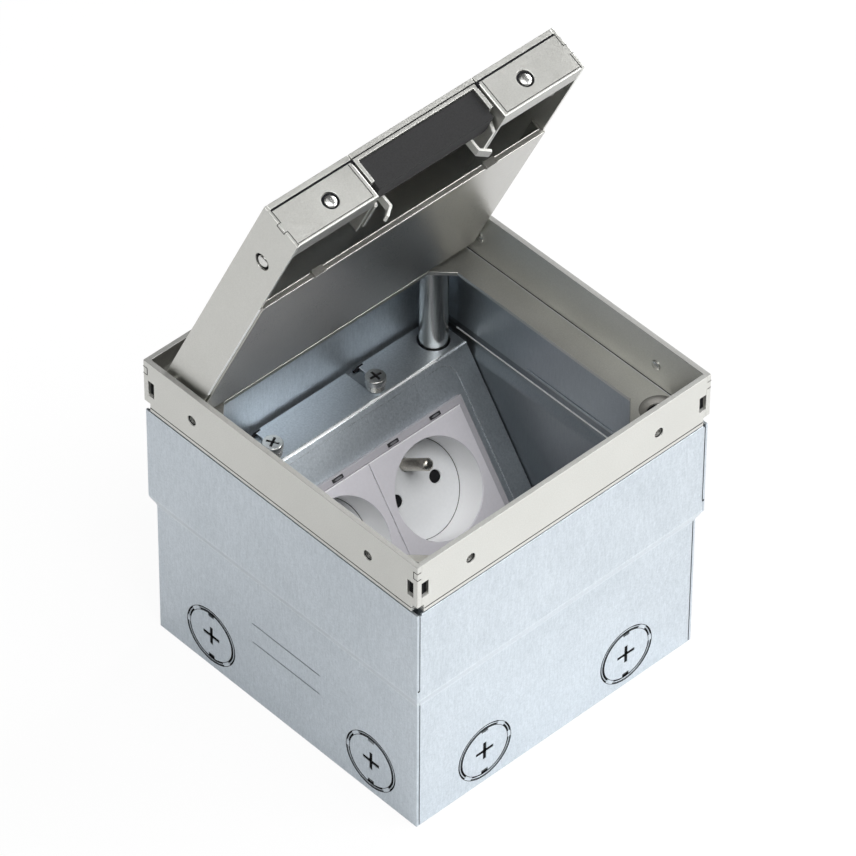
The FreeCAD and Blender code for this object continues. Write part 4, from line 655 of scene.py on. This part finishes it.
def stainless(name, dark, light, rough, metallic=0.92, bump=0.3, bands=()):
    """Stainless sheet, ground to a fine grain that is even along every way."""
    return sheet_metal(name, dark, light, 2800, 1700, rough, metallic, bump, bands)


# A band of painted shade along the foot of the frame's walls, where they meet the flange.
frame_seam = ((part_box("frame_wall_front")[0][2], 0.0002, 0.0002, 0.97),)
SATIN_TONES = (0.545, 0.545, 0.515), (0.655, 0.655, 0.625)
SATIN = stainless("satin_stainless", *SATIN_TONES, 0.30)
SEAMED = stainless("satin_stainless_over_seam", *SATIN_TONES, 0.30, bands=frame_seam)
# A lighter and a darker copy of the satin stainless for the walls' inner faces: painted light on the front
# and side walls, painted shade on the back wall.
SEAMED_LIT = stainless("lit_stainless_over_seam", (0.70, 0.70, 0.66), (0.82, 0.82, 0.78), 0.38,
                        bands=frame_seam)
SEAMED_SHADED = stainless("shaded_stainless_over_seam", (0.30, 0.295, 0.28), (0.37, 0.365, 0.35), 0.38,
                        bands=frame_seam)
# A much darker copy of the stainless for the dish slopes round the front levelling holes: painted shade.
SHADED_DISH = stainless("pressed_dish_painted_shade", (0.19, 0.185, 0.175), (0.25, 0.245, 0.23), 0.45)
TOP_EDGE = stainless("sheared_stainless_edge", (0.48, 0.48, 0.46), (0.57, 0.57, 0.55), 0.45, 0.62)
SATIN_EDGE = stainless("polished_stainless", (0.64, 0.64, 0.61), (0.78, 0.78, 0.75), 0.20, 0.97, 0.1)
# A lighter copy of the satin stainless for the flange's upward faces: painted light on its top.
LIT_SATIN = stainless("stainless_with_painted_light", (0.72, 0.72, 0.68), (0.84, 0.84, 0.80), 0.32)
piece = dressed("frame_flange", "top_frame", "stainless_steel", LIT_SATIN, SATIN, 0.00015)
piece.data.materials.append(SHADED_DISH)
# Upward faces take the copy with painted light, the dish slopes by the front posts the copy with painted
# shade, and the rest plain satin.
for face in piece.data.polygons:
    by_front_post = face.center.y < -0.045 and abs(face.center.x) > 0.05
    tilted = 0.3 < face.normal.z < 0.985
    face.material_index = 2 if by_front_post and tilted else 0 if face.normal.z > 0.3 else 1
for part in ("wall_left", "wall_right", "wall_front", "wall_back"):
    piece = dressed(f"frame_{part}", "top_frame", "stainless_steel", SEAMED, SEAMED, 0.00018)
    # Inner faces take the copy with painted light, or on the back wall the copy with painted shade.
    piece.data.materials[1] = SEAMED_SHADED if part == "wall_back" else SEAMED_LIT
    piece.data.materials.append(TOP_EDGE)
    for face in piece.data.polygons:
        face.material_index = 2 if face.normal.z > 0.6 else 1 if outwardness(face) < -0.3 else 0
seam_z = frame_seam[0][0] * 1000
for name, out, height, end, finish, radius in (
        ("frame_seam_line", 69.86, seam_z, 66.6, SHADE, 0.00024),
        ("frame_inner_seam_gap", 67.97, seam_z + 0.32, 67.9, SHADE, 0.00018),
        # A bead of painted highlight along the inner seam, just below its dark gap.
        ("frame_inner_seam_highlight", 67.8, seam_z, 67.7, HIGHLIGHT_LINE, 0.0001)):
    runs = [[(side * out, -end, height), (side * out, end, height)] for side in (-1, 1)]
    runs += [[(-end, side * out, height), (end, side * out, height)] for side in (-1, 1)]
    traced(name, "top_frame", "stainless_steel", finish, radius, runs)
# Near-black plates inside the corner slots: painted shade in the slots.
slot_shade, size = pattern("corner_slot_shade", width=0.0030, height=0.0068, thickness=0.0001)
slot_size = slot_shade.add("ShaderNodeCombineXYZ", None, [size["width"], size["height"], size["thickness"]])
slot_plate = slot_shade.add("GeometryNodeMeshCube", None, {"Size": slot_size})
SLOT_OUT, SLOT_ALONG, SLOT_HEIGHT = 0.0686, 0.0663, 0.1204
slot_spots = []
for side, front in CORNERS:
    slot_spots.append(facing((side * SLOT_OUT, front * SLOT_ALONG, SLOT_HEIGHT), (side, 0, 0)))
    slot_spots.append(facing((side * SLOT_ALONG, front * SLOT_OUT, SLOT_HEIGHT), (0, front, 0)))
slot_mesh = repeated("frame_slot_shades", slot_shade, size, slot_plate, SHADE, slot_spots)
place("frame_slot_shades", slot_mesh, "top_frame", "stainless_steel")

grub, size = pattern("set_screw", radius=0.00194, length=0.0014, key=0.0008, key_depth=0.0007)
grub_body = turned(grub, size["radius"], size["length"], ((0, 0.86), (0.12, 1), (0.86, 1), (1, 0.84)))
grub_key = grub.add("GeometryNodeMeshCylinder", None, {
    "Vertices": 6, "Radius": size["key"], "Depth": size["key_depth"] * 2})
grub_shape = cut_away(grub, grub_body, raised(grub, grub_key, size["length"]))
spots = []
for number, (middle, span) in enumerate(solids_of("frame_set_screws")):
    axis = 0 if span.x < span.y else 1
    way = Vector((0, 0, 0))
    way[axis] = math.copysign(1, middle[axis])
    spots.append(facing(middle - way * span[axis] / 2, way, 0.4 + number * 0.9))
grub_mesh = smoothed(repeated("frame_set_screws_turned", grub, size, grub_shape, POLISHED, spots), 35)
place("frame_set_screws_turned", grub_mesh, "top_frame", "stainless_fasteners", "frame_set_screws")
gap, size = pattern("set_screw_gap", outer=0.00199, inner=0.00165, depth=0.0002)
GAP_HEIGHT = 0.00195
gap_spots = [spot @ Matrix.Translation((0, 0, GAP_HEIGHT)) for spot in spots]
gap_mesh = repeated("frame_set_screw_gaps", gap, size, flat_ring(gap, size, 40), SHADE, gap_spots)
place("frame_set_screw_gaps", gap_mesh, "top_frame", "stainless_fasteners")

FRAME_OUT, FRAME_IN, TONGUE_END, TONGUE_LOW, TONGUE_HIGH = 70.0, 68.0, 68.4, 126.5, 129.7
tongue_lines = []
for side, front in CORNERS:
    for height in (TONGUE_LOW, TONGUE_HIGH):
        tongue_lines.append([
            (side * FRAME_OUT, front * FRAME_IN, height), (side * FRAME_OUT, front * FRAME_OUT, height),
            (side * TONGUE_END, front * FRAME_OUT, height)])
    tongue_lines.append([
        (side * FRAME_OUT, front * FRAME_IN, height) for height in (TONGUE_LOW, TONGUE_HIGH)])
traced("frame_tongue_lines", "top_frame", "stainless_steel", SHADE, 0.00013, tongue_lines)
for side in ("left", "right"):
    dressed(f"hinge_pin_{side}", "top_frame", "stainless_fasteners", SATIN_EDGE, SATIN_EDGE, 0.0002)


# The levelling posts: bright drawn tubes under the flange's corners, threaded on zinc plated
# screws that stand on the box's floor.

TUBE = sheet_metal("bright_drawn_tube", (0.50, 0.50, 0.48), (0.66, 0.66, 0.64), 2600, (2600, 2600, 120),
                   0.16, 1.0, 0.25)
TUBE_BORE = 0.00485
for post in ("front_left", "front_right", "back_left", "back_right"):
    piece = dressed(f"levelling_tube_{post}", "top_frame", "stainless_tube", TUBE, TUBE, 0.0003)
    piece.data.materials.append(SHADE)
    low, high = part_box(f"levelling_tube_{post}")
    axis_x, axis_y = (low[0] + high[0]) / 2, (low[1] + high[1]) / 2
    # The bore's faces take the near-black finish: painted shade inside the tube.
    for face in piece.data.polygons:
        if math.hypot(face.center.x - axis_x, face.center.y - axis_y) < TUBE_BORE:
            face.material_index = 2
    dressed(f"levelling_screw_{post}", f"levelling_screw_{post}", "zinc_plated_fasteners",
            BRIGHT_ZINC, BRIGHT_ZINC, 0.0003)


# The lid: a stainless top plate with folded side sheets, two front blocks and a pan that covers
# it from below. Round-headed rivets hold the blocks and the sides.

OPEN = math.radians(65.2)
LID = (Matrix.Translation((0, 0.0582, 0.1288)) @ Matrix.Rotation(-OPEN, 4, "X")
       @ Matrix.Translation((0, -0.125, 0.0038)))


def in_lid(point):
    """A point as x, distance behind the lid's free edge and depth below the lid's top, in mm."""
    spot = LID.inverted() @ point
    return spot.x * 1000, spot.y * 1000, -spot.z * 1000


UNDERSIDE = stainless("shaded_block_underside", (0.33, 0.33, 0.315), (0.42, 0.42, 0.40), 0.34, 0.85)
BLOCK_DEPTH, BLOCK_END = 18, 29.2


def block_bend(edge):
    """Whether an edge of a front block is folded: its lower front edge or its inner end's."""
    ends = [in_lid(vert.co) for vert in edge.verts]
    x, back, deep = ((ends[0][axis] + ends[1][axis]) / 2 for axis in range(3))
    spans = [abs(ends[0][axis] - ends[1][axis]) for axis in range(3)]
    low_bend = spans[0] > 5 and back < 0.2 and abs(deep - BLOCK_DEPTH) < 0.3
    end_bend = spans[2] > 3 and back < 0.2 and abs(abs(x) - BLOCK_END) < 0.3
    return low_bend or end_bend


for node in ("lid_front_left", "lid_front_right"):
    piece = dressed(node, "lid", "stainless_steel", SATIN, SATIN, 0.00015, block_bend, 0.0006)
    piece.data.materials.append(UNDERSIDE)
    for face in piece.data.polygons:
        if (LID.to_3x3().inverted() @ face.normal).z < -0.95 and in_lid(face.center)[2] > BLOCK_DEPTH - 0.5:
            face.material_index = 2
for node in ("lid_top_plate", "lid_side_left", "lid_side_right", "lid_back_wall", "hinge_block_left",
             "hinge_block_right"):
    dressed(node, "lid", "stainless_steel", SATIN, SATIN, 0.00015)
# Smoother stainless for the pan and its clips; its tone, darker than the lid's satin, is painted shade under
# the lid.
SHADED_PAN = stainless("smooth_pan_sheet_painted_shade", (0.35, 0.345, 0.325), (0.45, 0.44, 0.415), 0.25, 1.0, 0.35)
dressed("lid_pan", "lid", "stainless_steel", SHADED_PAN, SHADED_PAN, 0.00018)

DOME = ((0, 1), (0.45, 1), (0.62, 0.95), (0.76, 0.84), (0.87, 0.66), (0.95, 0.42), (1, 0.12))
HEAD_SEAT = 0.0009


def rivet_heads(node, spots):
    """Low domed rivet heads in rings of painted shade round them, in place of a CAD node's."""
    graph, size = pattern(f"{node}_heads", radius=0.00235, head=0.0012)
    head = turned(graph, size["radius"], size["head"], DOME, 48, 24)
    mesh = smoothed(repeated(f"{node}_heads", graph, size, head, POLISHED, spots), 70)
    place(f"{node}_heads", mesh, "lid", "stainless_fasteners", node)
    graph, size = pattern(f"{node}_rings", radius=0.00328, depth=0.0003)
    ring = turned(graph, size["radius"], size["depth"], ((0, 1), (1, 1)), 48, 2)
    mesh = repeated(f"{node}_rings", graph, size, ring, SHADE, spots)
    place(f"{node}_rings", mesh, "lid", "stainless_fasteners")


out = LID.to_3x3() @ Vector((0, -1, 0))
spots = [facing(middle + out * HEAD_SEAT, out) for middle, _ in solids_of("lid_front_rivets")]
rivet_heads("lid_front_rivets", spots)
spots = []
for middle, _ in solids_of("lid_side_rivets"):
    out = Vector((math.copysign(1, middle.x), 0, 0))
    spots.append(facing(middle + out * HEAD_SEAT, out))
rivet_heads("lid_side_rivets", spots)
dressed("lid_pan_clips", "lid", "spring_steel", SHADED_PAN, SHADED_PAN, 0.0001)


def on_lid(side, *points):
    """A run in mm of points given as in_lid gives them, with x counted towards one side."""
    return [tuple(1000 * (LID @ (Vector((side * x, back, -deep)) / 1000))) for x, back, deep in points]


LID_HALF, SIDE_JOINT, END_JOINT = 66.8, 65.6, 31.0
TAB_TOP, TAB_LOW, TAB_BACK = 7.6, 11.4, 1.2
HEM_FRONT, HEM_EDGE = 44.95, 17.95
gap_lines = []
corner_lines = []
joint_lines = []
side_hems = []
hem_lines = [on_lid(1, (start, HEM_FRONT, deep), (end, HEM_FRONT, deep))
             for start, end in ((-65.0, -43.2), (-37.2, 37.2), (43.2, 65.0)) for deep in (16.9, 18.8)]
for side in (-1, 1):
    gap_lines.append(on_lid(side, (29.6, 0.3, 2.4), (65.5, 0.3, 2.4)))
    gap_lines.append(on_lid(side, (28.85, 0.3, 2.3), (28.85, 0.3, 4.2)))
    corner_lines.append(on_lid(side, (29.3, 0.6, 2.5), (29.3, 0.6, 3.4)))
    joint_lines += [
        on_lid(side, (SIDE_JOINT, 0, 2.4), (SIDE_JOINT, 0, TAB_TOP), (LID_HALF, 0, TAB_TOP)),
        on_lid(side, (LID_HALF, 0, TAB_LOW), (SIDE_JOINT, 0, TAB_LOW), (SIDE_JOINT, 0, 17.6)),
        on_lid(side, (LID_HALF, 0, TAB_TOP), (LID_HALF, TAB_BACK, TAB_TOP), (LID_HALF, TAB_BACK, TAB_LOW),
               (LID_HALF, 0, TAB_LOW)),
        on_lid(side, (END_JOINT, 0, 3.0), (END_JOINT, 0, 16.6)),
        on_lid(side, (END_JOINT, 0, 16.9), (65.2, 0, 16.9))]
    side_hems.append(on_lid(side, (66.5, 46.5, HEM_EDGE), (66.5, 112.0, HEM_EDGE)))
for name, finish, radius, runs in (
        ("lid_flap_gap", SHADE, 0.00022, [on_lid(1, (-28.3, 0.05, 2.0), (28.3, 0.05, 2.0))]),
        ("lid_front_gaps", SHADE, 0.00055, gap_lines),
        ("lid_corner_gaps", SHADE, 0.0008, corner_lines),
        ("lid_joint_lines", SHADE, 0.00014, joint_lines),
        # Brighter polished beads along the pan's hem: painted highlights.
        ("lid_pan_hem_highlights", SATIN_EDGE, 0.00017, hem_lines),
        # Beads of painted highlight along the side sheets' lower edges.
        ("lid_side_hem_highlights", HIGHLIGHT_LINE, 0.0004, side_hems)):
    traced(name, "lid", "stainless_steel", finish, radius, runs)


# The cord flap: a small plate on a folded bracket, which two pins let swing into the lid. Open
# foam under it closes round the cords, springs hold it shut and bent hooks guide the cords.

for node in ("flap_bracket", "flap_plate"):
    dressed(node, "cord_flap", "stainless_steel", SATIN, SATIN, 0.00015)
# A paler, less metallic copy of the stainless for the hooks: painted light on them.
LIT_HOOK = stainless("bent_wire_painted_light", (0.66, 0.66, 0.63), (0.80, 0.80, 0.77), 0.40, 0.6, 0.2)
for side in ("left", "right"):
    for part in ("pin", "spring"):
        dressed(f"flap_{part}_{side}", "cord_flap", "spring_steel", POLISHED, POLISHED, 0.0001)
    dressed(f"flap_hook_{side}", "cord_flap", "spring_steel", LIT_HOOK, LIT_HOOK, 0.0001)

FOAM = mottled("open_cell_foam", (0.006, 0.006, 0.0065), (0.022, 0.022, 0.023), 1900, 0.86, 2200, detail=3.0)
foam = dressed("flap_foam", "cord_flap", "foam", FOAM, FOAM, 0.0004)


# The studio: the photograph's long lens, a white floor, and large soft lamps all round: the strong
# ones stand to the right and in front, the others above and to the left.

AIM = Vector((0.00755, 0.00729, 0.0926))
AWAY = 2.6857
AZIMUTH, ELEVATION, ROLL = math.radians(-43.433), math.radians(44.302), math.radians(0.392)
forward = Vector((-math.sin(AZIMUTH) * math.cos(ELEVATION), math.cos(AZIMUTH) * math.cos(ELEVATION),
                  -math.sin(ELEVATION)))
right = forward.cross(Vector((0, 0, 1))).normalized()
up = right.cross(forward)
turned_right = right * math.cos(ROLL) + up * math.sin(ROLL)
turned_up = up * math.cos(ROLL) - right * math.sin(ROLL)
lens = bpy.data.cameras.new("long_lens")
lens.lens = 320.05
lens.sensor_width = 36.0
lens.clip_end = 50.0
camera = bpy.data.objects.new("photo_view", lens)
bpy.context.scene.collection.objects.link(camera)
turn = Matrix((turned_right, turned_up, -forward)).transposed().to_4x4()
camera.matrix_world = Matrix.Translation(AIM - forward * AWAY) @ turn
bpy.context.scene.camera = camera

LAMP_REACH, LAMP_SIDE, HEART = 2.3, 1.1, 0.12
LAMPS = (
    ("high_front_left", -135, 60, 20.5),
    ("high_left", -180, 60, 5.6),
    ("high_front", -90, 60, 26.3),
    ("low_front_right", -45, 27, 29.0),
    ("low_right", 0, 27, 36.0),
    ("overhead", 0, 88, 2.8),
)
for name, side, rise, power in LAMPS:
    around, height = math.radians(side), math.radians(rise)
    reach = LAMP_REACH * math.cos(height)
    spot = (reach * math.cos(around), reach * math.sin(around), HEART + LAMP_REACH * math.sin(height))
    lamp = bpy.data.lights.new(name, "AREA")
    lamp.shape = "RECTANGLE"
    lamp.size, lamp.size_y = LAMP_SIDE, LAMP_SIDE
    lamp.energy = power
    holder = bpy.data.objects.new(name, lamp)
    bpy.context.scene.collection.objects.link(holder)
    holder.location = spot
    holder.rotation_euler = (Vector((0, 0, HEART)) - Vector(spot)).to_track_quat("-Z", "Y").to_euler()

world = bpy.data.worlds.new("pale_room")
world.use_nodes = True
bpy.context.scene.world = world
room = Graph(world.node_tree)
seen = room.add("ShaderNodeLightPath", output="Is Camera Ray")
ROOM_LIGHT = 0.02
background = world.node_tree.nodes["Background"]
world.node_tree.links.new((seen * (1 - ROOM_LIGHT) + ROOM_LIGHT).socket, background.inputs["Strength"])
background.inputs["Color"].default_value = (1, 1, 1, 1)

floor_mesh = bpy.data.meshes.new("floor")
floor_mesh.from_pydata([(-6, -6, 0), (6, -6, 0), (6, 6, 0), (-6, 6, 0)], [], [(0, 1, 2, 3)])
floor = bpy.data.objects.new("studio_floor", floor_mesh)
bpy.context.scene.collection.objects.link(floor)
paper, paper_graph, _ = new_finish("white_paper", {"Base Color": (0.86, 0.86, 0.86, 1), "Roughness": 0.9})
glow = paper_graph.add("ShaderNodeEmission", None, {"Color": (1, 1, 1, 1), "Strength": 1.0})
rays = [paper_graph.add("ShaderNodeLightPath", output=kind)
        for kind in ("Is Camera Ray", "Is Glossy Ray", "Is Transmission Ray")]
share = rays[0] * 0.93 + (rays[1] + rays[2]) * 0.09
body_shader = paper.node_tree.nodes["Principled BSDF"].outputs[0]
mixed = paper_graph.add("ShaderNodeMixShader", None, {0: share, 1: Wire(paper_graph, body_shader), 2: glow})
paper.node_tree.links.new(mixed.socket, paper.node_tree.nodes["Material Output"].inputs["Surface"])
floor_mesh.materials.append(paper)

bpy.context.scene.view_settings.view_transform = "Standard"
